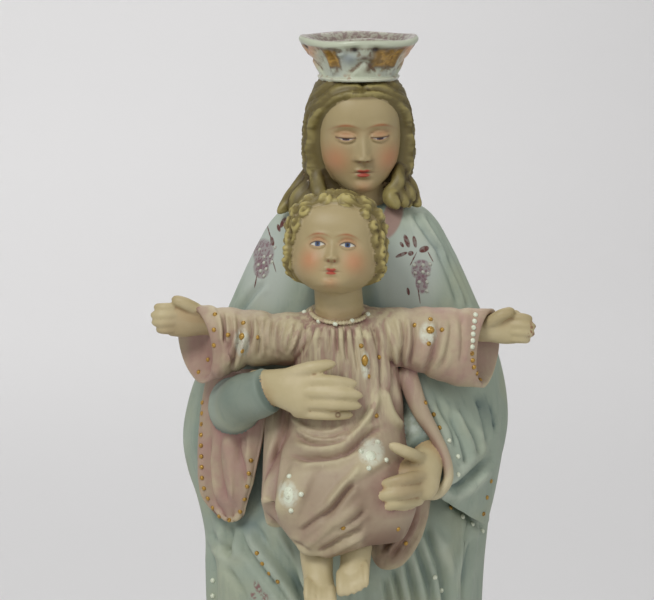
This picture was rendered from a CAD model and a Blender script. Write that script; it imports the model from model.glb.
"""A crowned mother with a child on her arm, slip-cast in bisque porcelain and painted.

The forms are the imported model's own, worked out again on finer grids, joined into one skin and painted.
Lengths in the shape functions are millimetres; meshes are in metres, +Z up, and the figures face -Y.
"""

import bpy
import numpy as np
from bpy.props import FloatProperty, FloatVectorProperty, IntProperty, PointerProperty
from mathutils import Euler, Matrix, Vector
from mathutils.bvhtree import BVHTree


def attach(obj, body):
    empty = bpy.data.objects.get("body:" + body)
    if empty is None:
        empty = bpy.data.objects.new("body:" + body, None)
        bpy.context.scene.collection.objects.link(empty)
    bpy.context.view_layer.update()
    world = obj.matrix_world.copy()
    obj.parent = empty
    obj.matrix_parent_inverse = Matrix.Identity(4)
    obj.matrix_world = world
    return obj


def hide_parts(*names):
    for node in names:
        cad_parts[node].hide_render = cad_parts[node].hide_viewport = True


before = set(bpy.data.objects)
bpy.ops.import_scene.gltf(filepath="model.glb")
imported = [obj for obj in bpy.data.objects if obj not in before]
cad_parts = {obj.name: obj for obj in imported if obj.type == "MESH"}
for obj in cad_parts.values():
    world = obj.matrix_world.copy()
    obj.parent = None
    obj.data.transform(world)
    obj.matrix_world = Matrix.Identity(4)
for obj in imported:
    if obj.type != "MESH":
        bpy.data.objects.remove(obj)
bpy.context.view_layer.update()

bl_info = {
    "name": "Bisque Mother and Child",
    "version": (1, 0, 0),
    "blender": (4, 5, 0),
    "location": "View3D > Sidebar > Bisque Figure",
    "description": "Makes a painted bisque figure of a crowned mother with a child",
    "category": "Add Mesh",
}

CAD_NODE = "madonna_and_child"
CASTING = "painted_casting"
CASTING_TRIANGLES = 196000
# Added to the tint of every point before the union, so that its new points, at nought, can be told
KNOWN = 1.0
BODY = "root"
MM = 0.001
TAU = 2 * np.pi
FRONT = -TAU / 4
TOWARDS_VIEWER = (0, -1, 0)
UP = (0, 0, 1)

# The photograph's camera, in millimetres: the point of the figure at the picture's middle, the distance
# from it, and the width of the picture there: so many pixels of so many millimetres
SEEN_MIDDLE = np.array([-9.16, 0, 296])
SEEN_DISTANCE = 1400
PICTURE_PIXELS, PIXEL = 654, 0.458
SEEN_WIDTH = PICTURE_PIXELS * PIXEL
SEEN_ELEVATION = np.radians(7)
SENSOR = 36

# Paint areas of the casting, in the order of its material slots
AREAS = ["mantle", "gown", "mother", "child", "crown", "base"]
MANTLE, GOWN, MOTHER, CHILD, CROWN, BASE = range(len(AREAS))

MOTHER_HEAD = {
    "middle": (4.9, -12, 375), "height": 53, "width": 37.7, "depth": 42, "fullness": 0,
    "turn": (7, -1, 6),
}
CHILD_HEAD = {
    "middle": (-5.3, -60, 327.2), "height": 42, "width": 37.5, "depth": 39,
    "fullness": 0.08, "turn": (-13, 2, -5),
}

# Where the features stand on each face, in head heights, above the chin and out from the middle line
MOTHER_FACE = {
    "eyes": 0.5, "eye_out": 0.145, "nose_foot": 0.3, "nose": 0.105, "mouth": 0.2,
    "lips": 0.08, "cheek": 0.01, "lid_up": -0.004, "lid_low": 0.024,
}
CHILD_FACE = {
    "eyes": 0.46, "eye_out": 0.155, "nose_foot": 0.29, "nose": 0.085, "mouth": 0.185,
    "lips": 0.075, "cheek": 0.03, "lid_up": 0.03, "lid_low": 0.024,
}
EYE_HALF_WIDTH = 0.08


# Curves and reliefs


def clamp(x):
    """x held between 0 and 1."""
    return np.clip(x, 0.0, 1.0)


def ease(low, high, x):
    """0 before low, 1 after high, and the cubic 3t^2 - 2t^3 between them."""
    t = clamp((x - low) / (high - low))
    return t * t * (3 - 2 * t)


def fold(phase):
    """A cloth fold: the root of a squared cosine, round at phase 0 and a narrow valley at half a turn."""
    return np.sqrt(np.cos(phase / 2) ** 2 + 0.02) - 0.5


def bump(distance, width):
    """A bell: e to the power of minus the squared distance in widths."""
    return np.exp(-((distance / width) ** 2))


def between(stations, t):
    """Rows of numbers joined by a Catmull-Rom cubic and read at every t from 0 to 1."""
    rows = np.asarray(stations, float)
    last = len(rows) - 1
    rows = np.vstack([2 * rows[0] - rows[1], rows, 2 * rows[-1] - rows[-2]])
    place = clamp(t) * last
    i = np.minimum(place.astype(int), last - 1)
    f = (place - i)[..., None]
    a, b, c, d = (rows[i + n] for n in range(4))
    return b + 0.5 * f * (c - a + f * (2 * a - 5 * b + 4 * c - d + f * (3 * (b - c) + d - a)))


def at_first(stations, x):
    """The same curve read where the first number of the rows, which rises all the way, is x."""
    first = np.array([row[0] for row in stations], float)
    last = len(first) - 1
    i = np.minimum(np.searchsorted(first[1:], x), last - 1)
    share = clamp((x - first[i]) / (first[i + 1] - first[i]))
    return between(stations, (i + share) / last)


def along_line(line, x, z):
    """How far each (x, z) lies from a smooth line, and how far along the line its nearest point is."""
    pieces = 13
    path = between(line, np.linspace(0, 1, pieces + 1))
    nearest, along = np.full(x.shape, np.inf), np.zeros(x.shape)
    for n, ((ax, az), (bx, bz)) in enumerate(zip(path[:-1], path[1:])):
        length2 = (bx - ax) ** 2 + (bz - az) ** 2
        t = clamp(((x - ax) * (bx - ax) + (z - az) * (bz - az)) / length2)
        distance = np.hypot(x - ax - t * (bx - ax), z - az - t * (bz - az))
        closer = distance < nearest
        nearest = np.where(closer, distance, nearest)
        along = np.where(closer, (n + t) / pieces, along)
    return nearest, along


def unit(vectors):
    """Vectors divided by their length."""
    return vectors / np.linalg.norm(vectors, axis=-1, keepdims=True)


# The viewer

TOWARDS_EYE = np.array([0, -np.cos(SEEN_ELEVATION), np.sin(SEEN_ELEVATION)])
EYE_UP = np.array([0, np.sin(SEEN_ELEVATION), np.cos(SEEN_ELEVATION)])
EYE_RIGHT = np.array([1, 0, 0])
EYE = SEEN_MIDDLE + SEEN_DISTANCE * TOWARDS_EYE


def as_seen(points):
    """Where the viewer sees each point: (x, z) on the plane through the figure that faces the viewer."""
    away = points - EYE
    scale = SEEN_DISTANCE / -(away @ TOWARDS_EYE)
    return SEEN_MIDDLE[0] + away[..., 0] * scale, SEEN_MIDDLE[2] + (away @ EYE_UP) * scale


def view_ray(x, z):
    """From the eye to (x, z) on the plane through the figure that faces the viewer."""
    across, rise = np.asarray(x) - SEEN_MIDDLE[0], np.asarray(z) - SEEN_MIDDLE[2]
    return SEEN_MIDDLE + across[..., None] * EYE_RIGHT + rise[..., None] * EYE_UP - EYE


def at_depth(rows):
    """The inverse: rows of (seen x, y, seen z) become the points of the viewer's rays at those depths."""
    rows = np.asarray(rows, float)
    ray = view_ray(rows[..., 0], rows[..., 2])
    return EYE + ray * ((rows[..., 1] - EYE[1]) / ray[..., 1])[..., None]


def on_cloth(x, z, depth):
    """Object (x, z) of a place that the viewer sees at (x, z), on cloth at that depth."""
    point = at_depth((x, depth, z))
    return float(point[0]), float(point[2])


def folds_at(folds, x, z):
    """Lift of drawn folds: along each line a bell of its height and width, which fades at both ends; a
    valley, with a height below nought, has a low bank on each side."""
    lift = np.zeros(x.shape)
    for height, width, line in folds:
        distance, along = along_line(line, x, z)
        fade = ease(0, 0.22, along) * ease(0, 0.22, 1 - along)
        bank = 0.45 * bump(distance - 2.1 * width, 1.3 * width) if height < 0 else 0
        lift += height * fade * (bump(distance, width) - bank)
    return lift


def drape(points, folds):
    """Lifts rings of points outwards by the folds that the viewer sees there, where they face it."""
    around = np.roll(points, -1, 1) - np.roll(points, 1, 1)
    normals = np.cross(around, np.gradient(points, axis=0))
    outwards = points - points.mean(1, keepdims=True)
    normals = np.sign((normals * outwards).sum()) * unit(normals + 1e-9)
    facing = ease(0, 0.5, -normals[..., 1])
    return points + (folds_at(folds, *as_seen(points)) * facing)[..., None] * normals


# Drawn folds: height, width and a line, in millimetres as the viewer sees them

CHEST_GATHERS = [
    (-1.4, 0.88, [(-37.1, 287.8), (-37.6, 282.3), (-37.1, 275.4), (-35.3, 270.4)]),
    (-1.2, 0.8, [(-33.4, 287.3), (-34.4, 281.3), (-34.4, 274.9), (-32.5, 269.4)]),
    (-1.5, 0.8, [(-29.3, 287.3), (-31.1, 280.4), (-31.6, 274), (-28.9, 268.5)]),
    (-1.2, 0.8, [(-25.6, 287.8), (-27.9, 281.3), (-29.3, 274.9), (-27.5, 270.4)]),
    (-1.4, 0.72, [(-22, 286.8), (-24.7, 280.4), (-26.6, 274.9), (-27.9, 270.4)]),
    (-1.4, 0.72, [(-18.3, 286.8), (-20.6, 280.4), (-22.9, 274.9), (-25.2, 269.9)]),
    (-1.2, 0.72, [(-14.7, 285.5), (-16.5, 279.5), (-18.8, 274), (-21.5, 269.4)]),
    (-0.93, 0.64, [(-11.4, 284.6), (-12.4, 278.6), (-13.3, 272.2)]),
    (-0.93, 0.64, [(-8.2, 284.1), (-8.2, 277.7), (-8.7, 270.8)]),
    (-0.93, 0.64, [(-4.6, 284.1), (-4.6, 277.7), (-4.1, 270.8)]),
    (-0.99, 0.64, [(-0.9, 284.6), (-0.9, 278.6), (-0.5, 271.3), (0.5, 267)]),
    (-1.2, 0.72, [(2.7, 284.6), (3.2, 276.8), (4.6, 267.6), (5.2, 262)]),
    (-1.4, 0.72, [(6.4, 286.4), (8.2, 276.8), (10.1, 266.7), (10.5, 255.7)]),
    (-1.5, 0.8, [(10.5, 288.2), (13.3, 277.7), (15.1, 268), (15.6, 260), (15.6, 253)]),
    (-1.4, 0.8, [(14.7, 289.6), (17.9, 279.5), (20.2, 270), (21.1, 261), (21.1, 252)]),
    (-1.1, 0.8, [(18.8, 290.5), (22, 281.3), (24.3, 272.2), (25.6, 261.2)]),
]
SWAGS = [
    (3.0, 1.8, [(-28.4, 231.9), (-20.6, 228.2), (-12.4, 226.4), (-4.1, 228.7),
                (3.7, 235.1), (9.6, 242.4), (13.3, 251.1), (13.7, 260.3)]),
    (1.8, 1.2, [(-24.3, 239.2), (-20.2, 234.6), (-13.3, 231.4), (-5.5, 231.4), (2.3, 236.5)]),
    (1.6, 1.2, [(-27, 244.7), (-22, 239.2), (-15.1, 235.5), (-6.9, 235.5), (0.5, 239.2)]),
    (-2.4, 1.2, [(-29.3, 226.4), (-20.2, 223.2), (-12.4, 222.7), (-3.2, 224.1),
                 (4.1, 229.1), (11.4, 235.5), (19.7, 237.8)]),
    (1.5, 1.5, [(-23.4, 217.7), (-14.7, 220), (-5.5, 222.3), (1.4, 225.9)]),
    (-1.6, 1.1, [(-24.7, 236.5), (-19.2, 231.4), (-12.4, 229.1), (-4.1, 230), (2.3, 232.8)]),
    (2.2, 1.6, [(16.5, 257.1), (17.9, 249.3), (20.6, 242), (26.1, 236.5)]),
    (-2.0, 1.2, [(20.2, 257.1), (22, 249.3), (25.2, 242.9), (29.8, 238.3)]),
]
LAP_FOLDS = [
    (2.6, 10, [(-30.2, 211.7), (-23.8, 209), (-16.9, 206.2)]),
    (2.4, 8.5, [(6, 228.2), (9.2, 222.3), (12.8, 216.3)]),
    (2.0, 1.8, [(-11.4, 198.9), (-4.1, 208.1), (2.3, 214.9), (6.9, 220.9)]),
    (-2.4, 1.5, [(-13.3, 193.4), (-6.4, 200.7), (-0.5, 208.5), (4.1, 213.1)]),
    (2.0, 1.7, [(-21.5, 181), (-15.6, 185.6), (-7.8, 192), (1.4, 198.9), (8.7, 205.8)]),
    (-2.6, 1.4, [(-15.1, 179.7), (-6.9, 183.8), (0.5, 188.4), (8.7, 192.5)]),
    (1.6, 1.2, [(-7.8, 180.1), (-0.5, 184.2), (9.6, 188.8)]),
    (-1.8, 1.2, [(-22.4, 189.3), (-16, 193.9), (-7.8, 200.3)]),
    (-1.6, 1.0, [(-5.5, 189.3), (2.3, 194.3), (9.6, 200.7)]),
    (-1.4, 1.0, [(-27.9, 186.1), (-21.5, 183.8), (-16, 181)]),
    (1.8, 1.6, [(-32.5, 236.5), (-35.3, 223.6), (-36.6, 209), (-37.1, 196.2)]),
    (-2.0, 1.2, [(-30.2, 233.7), (-32.5, 218.1), (-33.9, 204.4), (-32.1, 192.9)]),
]
FLAP_FOLDS = [
    (-2.2, 1.3, [(32.1, 202.3), (27.6, 188.9), (19.3, 176.9)]),
    (-1.8, 1.1, [(35.2, 203), (32.4, 190.7), (23.4, 177)]),
    (-2.2, 1.3, [(26.6, 203.6), (22.1, 190.3), (15.2, 180)]),
    (1.6, 1.6, [(29.6, 202.6), (24.9, 189.6), (17.2, 178.4)]),
]
LEFT_SLEEVE_FOLDS = [
    (-1.5, 0.8, [(-57.2, 291), (-55.9, 282.3), (-56.3, 274.9)]),
    (-2.2, 1.0, [(-50.4, 291), (-49.5, 280), (-51.3, 271.3), (-53.6, 263.5)]),
    (-2.2, 1.0, [(-44.4, 289.6), (-43.5, 281.3), (-45.8, 274.9), (-47.6, 269)]),
    (-2.0, 0.9, [(-40.8, 289.1), (-39.8, 279.5), (-40.8, 269)]),
    (-1.4, 0.9, [(-53.6, 290), (-52.7, 281.3), (-54, 272.2)]),
    (1.4, 2.6, [(-53.1, 274), (-57.7, 265.8), (-61.8, 262.1)]),
]
RIGHT_SLEEVE_FOLDS = [
    (-2.0, 1.0, [(25.2, 289.1), (26.1, 278.6), (24.3, 263.9)]),
    (-1.6, 0.9, [(30.2, 288.2), (30.2, 275.4), (27.5, 264.9)]),
    (-1.2, 1.2, [(41.7, 287.8), (41.2, 277.7), (38, 267.6), (33.4, 261.2)]),
    (-1.0, 1.1, [(47.2, 289.1), (47.6, 280), (45.3, 270.4), (40.8, 262.1)]),
    (-1.0, 1.1, [(52.2, 289.1), (53.1, 277.2), (51.8, 265.8)]),
    (1.0, 2.0, [(35.3, 282.3), (35.3, 273.1), (31.6, 264.9)]),
]
CHILD_FOLDS = [*CHEST_GATHERS, *SWAGS, *LAP_FOLDS, *LEFT_SLEEVE_FOLDS, *RIGHT_SLEEVE_FOLDS]
LINING_FOLDS = [
    (2.2, 1.8, [(-52.7, 238.3), (-54.5, 229.1), (-53.1, 220.4), (-51.8, 209), (-50.8, 199.8)]),
    (-2.0, 1.2, [(-49.9, 236.5), (-49.5, 226.4), (-47.6, 219.1), (-46.7, 208.1)]),
    (1.8, 1.2, [(-44.4, 241), (-44.4, 231), (-44.9, 220.9)]),
    (-1.6, 1.0, [(-57.7, 236.5), (-58.6, 225), (-57.2, 213.6), (-54.5, 202.1)]),
    (1.2, 1.4, [(-61.4, 229.1), (-60.5, 215.4), (-58.2, 203.9)]),
    (-1.8, 1.6, [(-63.7, 242.9), (-63.2, 218.1), (-61.4, 204.4), (-57.2, 198)]),
]
LINING_RIM = [
    (1.5, 1.0, [(-66, 259.4), (-66.4, 231.9), (-66, 213.6), (-63.7, 203.9), (-58.2, 198),
                (-52.7, 195.2), (-46.7, 199.8), (-43.1, 208.5), (-41.2, 222.7)]),
]
PANEL_FOLDS = [
    (-2.6, 1.3, [(45.3, 246.5), (50.4, 236.5), (54, 226.4), (54.5, 220)]),
    (-2.4, 1.2, [(50.8, 249.7), (55, 238.8), (59.1, 231), (60.5, 224.1)]),
    (-2.0, 1.3, [(57.7, 254.8), (61.8, 244.7), (63.7, 236.5), (63.7, 229.6)]),
    (-1.8, 1.2, [(62.7, 255.7), (66.4, 244.7), (67.8, 233.7)]),
    (-2.0, 1.1, [(40.8, 252), (44.4, 243.3), (48.1, 235.5), (49.9, 227.3)]),
    (-1.4, 1.1, [(67.8, 252), (71, 241), (71, 229.6)]),
    (-2.8, 1.8, [(68.2, 226.4), (59.1, 217.7), (51.3, 210.8), (44.4, 208.1)]),
    (1.6, 2.0, [(66, 218.1), (59.1, 212.6), (52.7, 207.1)]),
]
MANTLE_FOLDS = [
    (-3.4, 1.9, [(-54.5, 195.2), (-53.6, 188.8), (-54.5, 182.4), (-55.9, 176.9)]),
    (-2.0, 1.5, [(-61.8, 190.7), (-57.7, 183.3), (-53.6, 178.8)]),
    (-3.0, 1.6, [(-50.8, 193.4), (-46.3, 183.3), (-38.9, 172.3), (-30.7, 162.3), (-21.5, 147.2)]),
    (-3.0, 1.6, [(-44.4, 196.2), (-38, 186.1), (-30.2, 175.5), (-22.9, 164.1), (-16, 147.2)]),
    (2.0, 2.4, [(-47.6, 193.4), (-42.1, 183.3), (-34.4, 172.8), (-27, 162.3), (-19.2, 149.4)]),
    (-2.4, 1.5, [(-37.1, 191.6), (-31.1, 182.4), (-24.7, 172.3), (-19.2, 158.6), (-16, 144.9)]),
    (-2.0, 1.6, [(-64.1, 187), (-61.8, 176), (-60.9, 163.2), (-61.8, 140.3)]),
    (-2.2, 1.5, [(-57.2, 176), (-50.8, 166.8), (-45.8, 156.8), (-42.6, 140.3)]),
    (-2.8, 1.5, [(34.4, 196.2), (38.9, 182.4), (43.1, 170.1), (46.7, 140.3)]),
    (-2.8, 1.4, [(26.1, 180.6), (28.9, 168.7), (31.6, 156.3), (33.4, 140.3)]),
    (-2.6, 1.3, [(20.6, 174.2), (22.9, 164.1), (25.2, 154), (26.6, 140.3)]),
    (-2.2, 1.2, [(16.9, 171.4), (18.3, 162.3), (20.2, 153.1), (21.1, 140.3)]),
    (-2.4, 1.4, [(30.2, 188.4), (33.9, 176), (38, 162.3), (40.8, 140.3)]),
    (1.8, 2.2, [(40.8, 191.6), (46.3, 178.8), (49.9, 163.2), (52.7, 140.3)]),
    (-2.4, 1.6, [(58.2, 188.8), (55.4, 176.9), (53.1, 163.2), (52.7, 140.3)]),
    (-2.2, 2.0, [(45.3, 205.8), (51.8, 201.2), (60, 194.3), (65.5, 188.8)]),
    (-1.8, 1.3, [(-37.1, 305.2), (-44.4, 296.9), (-50.8, 288.2)]),
    (-1.8, 1.3, [(39.8, 323), (46.7, 307.4), (51.8, 291.9)]),
    (-1.8, 1.2, [(44.9, 318.9), (52.2, 302.9), (56.8, 291)]),
    (-1.6, 1.2, [(28.9, 338.1), (36.6, 326.2), (44, 316.2)]),
    (-1.4, 1.2, [(35.3, 336.3), (43.1, 323.5), (49.5, 310.7)]),
]


# Forms: closed skins of rings


def ring_and_row(around, along, crowd_ends=0.1):
    """u round the ring and v along the rows; the rows crowd at both ends by a sine of v."""
    u = np.arange(around)[None, :] / around
    t = np.linspace(0, 1, along + 1)[:, None]
    return u, t - crowd_ends * np.sin(TAU * t)


def carried_axes(path, t, facing):
    """Along a curve: its unit tangent, and the unit vectors across and towards the view, which are cross
    products with facing."""
    step = 1e-3
    tangent = unit(between(path, t + step) - between(path, t - step))
    side = unit(np.cross(tangent, facing))
    return tangent, side, np.cross(side, tangent)


def closed_form(points, paint, folds=(), tint=0.0):
    """Rings of points, rows by columns, closed to the middle of the first and the last ring. paint is their
    area, folds are draped on them, and tint is how much each point is hair. Faces are turned to point
    out, by the sign of the volume."""
    if folds:
        points = drape(points, folds)
    rows, columns = points.shape[:2]
    verts = np.vstack([points.reshape(-1, 3), points[0].mean(0), points[-1].mean(0)])
    grid = np.arange(rows * columns).reshape(rows, columns)
    low, high = grid[:-1], grid[1:]
    quads = np.stack([low, np.roll(low, -1, 1), np.roll(high, -1, 1), high], -1).reshape(-1, 4)
    foot, head = rows * columns, rows * columns + 1
    first = np.stack([np.full(columns, foot), np.roll(grid[0], -1), grid[0]], -1)
    last = np.stack([np.full(columns, head), grid[-1], np.roll(grid[-1], -1)], -1)
    tris = np.vstack([first, last])
    a, b, c, d = (verts[quads[:, n]] for n in range(4))
    e, f, g = (verts[tris[:, n]] for n in range(3))
    volume = (np.cross(a, b) * c).sum() + (np.cross(a, c) * d).sum() + (np.cross(e, f) * g).sum()
    if volume < 0:
        quads, tris = quads[:, ::-1], tris[:, ::-1]
    tint = np.broadcast_to(tint, (rows, columns))
    tint = np.concatenate([tint.reshape(-1), tint[:1].mean(1), tint[-1:].mean(1)])
    return {"verts": verts, "quads": quads, "tris": tris, "area": paint, "tint": tint}


def tube(path, sizes, paint, around=20, along=20, ends=(0, 0.15), relief=None, facing=TOWARDS_VIEWER,
         folds=(), tint=0.0):
    """An oval ring carried along a curve: half width across the view and half depth towards it, from sizes;
    near an end the ring shrinks as a quarter circle does."""
    u, v = ring_and_row(around, along)
    angle = TAU * u
    _, side, out = carried_axes(path, v, facing)
    size = between(sizes, v)
    close = np.ones_like(v)
    for t, share in ((v, ends[0]), (1 - v, ends[1])):
        if share > 0:
            close *= np.sqrt(1 - (1 - clamp(t / share)) ** 2)
    close = np.maximum(close, 0.12)
    lift = relief(angle, v) * close if relief else 0
    across = (size[..., 0] * close + lift) * np.cos(angle)
    ahead = (size[..., 1] * close + lift) * np.sin(angle)
    points = between(path, v) + across[..., None] * side + ahead[..., None] * out
    return closed_form(points, paint, folds, tint)


def panel(left, right, bulge, sink, count, depth, paint, folds, around=96, along=60):
    """A hanging cloth between two edges: its front swells as the root of a sine and carries cosine folds,
    its back is sunk in the body."""
    u, v = ring_and_row(around, along, 0.06)
    angle = TAU * u
    share = (0.5 - 0.5 * np.cos(angle))[..., None]
    a, b = between(left, v), between(right, v)
    points = a + (b - a) * share
    out = between(bulge, v)[..., 0]
    front = np.sin(angle) + 0 * v
    wander = 0.35 * np.sin(5 * v + 2 * u)
    lift = depth * fold(2 * TAU * count * u + wander) * ease(0.1, 0.5, front)
    points[..., 1] -= np.where(front > 0, out * np.sqrt(np.abs(front)) + lift, sink * front)
    return closed_form(points, paint, folds)


def stack(stations, around, along, square, crowd, drift, relief, paint, folds, shift=None):
    """Level rings: each is a superellipse between left, right, front and back at its height; the columns
    crowd to the front by a sine, turn by drift, and the relief lifts them outwards."""
    u, v = ring_and_row(around, along, 0)
    placed = TAU * u - crowd * np.sin(TAU * u)
    start = np.arctan2(np.sin(placed), np.cos(placed)) + 0 * v
    z, left, right, front, back = np.moveaxis(between(stations, v + 0 * u), -1, 0)
    from_front = start + drift(start, z)
    c, s = np.cos(FRONT + from_front), np.sin(FRONT + from_front)
    rounder = np.hypot(c, s) / (np.abs(c) ** square + np.abs(s) ** square) ** (1 / square)
    x = (left + right) / 2 + (right - left) / 2 * c * rounder
    y = (front + back) / 2 + (back - front) / 2 * s * rounder
    lift = relief(u, z, from_front)
    points = np.stack([x + lift * c, y + lift * s, z], -1)
    if shift:
        points = shift(points)
    return closed_form(points, paint, folds)


# The mantle, the gown and the base

# Level rings, in millimetres: height, left, right, front and back
MANTLE_STATIONS = [
    [10, -64, 63, -52, 41], [24, -63.5, 62.5, -51, 41], [60, -61.5, 60, -48, 40],
    [100, -62, 60, -47, 39.5], [135, -62.5, 60.5, -46.5, 39], [158, -63.2, 61, -46, 38.5],
    [176, -63.7, 62, -45, 38], [190, -64.2, 63.5, -44, 38], [206, -68, 65.5, -41, 37.5],
    [218, -72.2, 68.5, -38, 37], [231, -74.6, 72, -37, 36.5], [244, -73.6, 73.4, -36.5, 36],
    [260, -69.2, 71.8, -36, 35], [278, -60.5, 67, -34.5, 33.5], [296, -52.7, 59, -32.5, 31.5],
    [312, -45.5, 51.8, -30, 29.5], [324, -39.5, 45.8, -27, 27], [333, -34, 40.5, -23.5, 24.5],
    [339, -27, 34, -19, 21], [343, -15, 22, -12, 15],
]
# The slant of the mantle's folds: millimetres round from the front, and millimetres aside for each fallen
FOLD_SLANT = [
    [-95, 0], [-70, 0.35], [-48, 0.8], [-25, 0.4], [5, 0.1], [25, 0.22], [45, 0.3], [68, -0.25],
    [95, 0],
]
# The gown's rings, from inside its hem outwards and up: height, left, right, front and back
GOWN_STATIONS = [
    [205, -27, 18, -73, -54], [194, -32, 22, -79, -48], [196, -36, 26, -83, -44],
    [209, -38, 30, -86, -38], [221, -37, 29.5, -85.5, -33], [230, -34, 27.5, -83, -30],
    [237, -30.5, 26, -78.5, -29], [244, -27.5, 25, -73.5, -28], [252, -26, 24.5, -70, -28],
    [261, -25.5, 24, -68, -28], [272, -25, 22, -67, -28], [284, -25, 19.5, -65.5, -28],
    [290.5, -23, 17, -65.5, -30], [295, -19, 12, -64.5, -34], [297, -14, 6.5, -62, -38],
]


def mantle_form(count):
    """The mantle: level rings with hanging folds, deeper towards the hem, whose columns run with the slant
    of the fold lines."""

    def drift(start, z):
        radius = 62
        fallen = 42 * (1 - np.exp(np.minimum(z - 232, 0) / 48))
        return at_first(FOLD_SLANT, radius * start)[..., 1] * fallen / radius

    def relief(u, z, from_front):
        low = 1 - ease(150, 300, z)
        uneven = 1 + 0.3 * np.sin(5 * TAU * u + 1)
        phase = TAU * count * u + 0.35 * np.sin(z / 23 + 9 * u)
        minor = 0.35 * fold(2 * phase + 2 + np.sin(z / 31)) * low
        drawn = ease(0.1, 0.6, np.cos(from_front)) * ease(140, 165, z)
        height = (1.0 + 2.7 * low) * (1 - 0.7 * drawn)
        return (height * uneven * fold(phase) + minor) * ease(8, 26, z)

    return stack(MANTLE_STATIONS, 264, 230, 2.25, 0.45, drift, relief, MANTLE, MANTLE_FOLDS)


def gown_form(count):
    """The child's gown: rings with gathers on the chest and an uneven hem turned under; the swags and the
    folds over the knees are drawn on it."""

    def relief(u, z, from_front):
        torso = ease(258, 272, z)
        plain = 1 - ease(0.1, 0.6, np.cos(from_front)) * (1 - torso)
        phase = TAU * count * u + 0.3 * np.sin(z / 9)
        return (0.5 + 0.3 * torso) * plain * fold(phase) + 0.15 * torso * fold(3 * phase + 1.1)

    def shift(points):
        x, z = points[..., 0], points[..., 2]
        hem = (16 * ease(16, 36, -x) + 4.5 * ease(-8, 12, x)) * (1 - ease(196, 222, z))
        points[..., 2] += hem + 0.28 * (points[..., 1] + 50) * ease(284, 295, z)
        return points

    def drift(start, z):
        return -0.35 * ease(0, 60, 245 - z)

    return stack(GOWN_STATIONS, 160, 120, 2.3, 0.6, drift, relief, GOWN, CHILD_FOLDS, shift)


def collar_form():
    """The gathered frill at the child's neck: a tube round it, low in front, waved by a sine."""
    turn = np.linspace(-0.1, np.pi + 0.1, 24)
    y = -49.5 - 14 * np.sin(turn)
    path = np.stack([-3.6 - 12.6 * np.cos(turn), y, 297 + 0.2 * (y + 50) - 0.6 * np.sin(turn)], -1)

    def wave(angle, v):
        return 0.22 * np.sin(TAU * 30 * v + 1.2 * np.sin(angle))

    return tube(path, [[0.9, 1.7], [0.9, 1.7], [0.9, 1.7]], GOWN, 16, 200, (0.06, 0.06), wave)


def base_form():
    """The low oval base: a rounded profile carried round a superellipse."""
    half_width, half_depth, height, middle = 68, 52, 13, -5
    profile = [[0, 0.97], [0.04, 0.985], [0.15, 1], [0.65, 1], [0.74, 0.98], [0.8, 0.955], [1, 0.93]]
    u, v = ring_and_row(120, 24, 0)
    h, share = np.moveaxis(between(profile, v), -1, 0)
    c, s = np.cos(TAU * u), np.sin(TAU * u)
    x = half_width * share * np.sign(c) * np.abs(c) ** 0.85
    y = middle + half_depth * share * np.sign(s) * np.abs(s) ** 0.85
    return closed_form(np.stack([x, y, height * h + 0 * u], -1), BASE)


# Heads

# The skull's rings: height above the chin in head heights, then shares of the half width, and of the half
# depth ahead of the middle and behind it
HEAD_STATIONS = [
    [0.0, 0.2, 0.66, 0.1], [0.04, 0.47, 0.83, 0.16], [0.12, 0.71, 0.9, 0.3],
    [0.25, 0.92, 0.93, 0.56], [0.4, 1.0, 0.95, 0.85], [0.55, 1.0, 0.98, 0.98],
    [0.7, 0.99, 1.0, 1.0], [0.84, 0.86, 0.89, 0.88], [0.95, 0.54, 0.56, 0.56], [1.0, 0.1, 0.1, 0.1],
]


def eye_edges(across, face):
    """Heights of the upper and lower lid over the eye's middle: parabolas across the eye."""
    arch = 1 - across**2
    return face["lid_up"] * arch, -face["lid_low"] * arch


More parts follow.
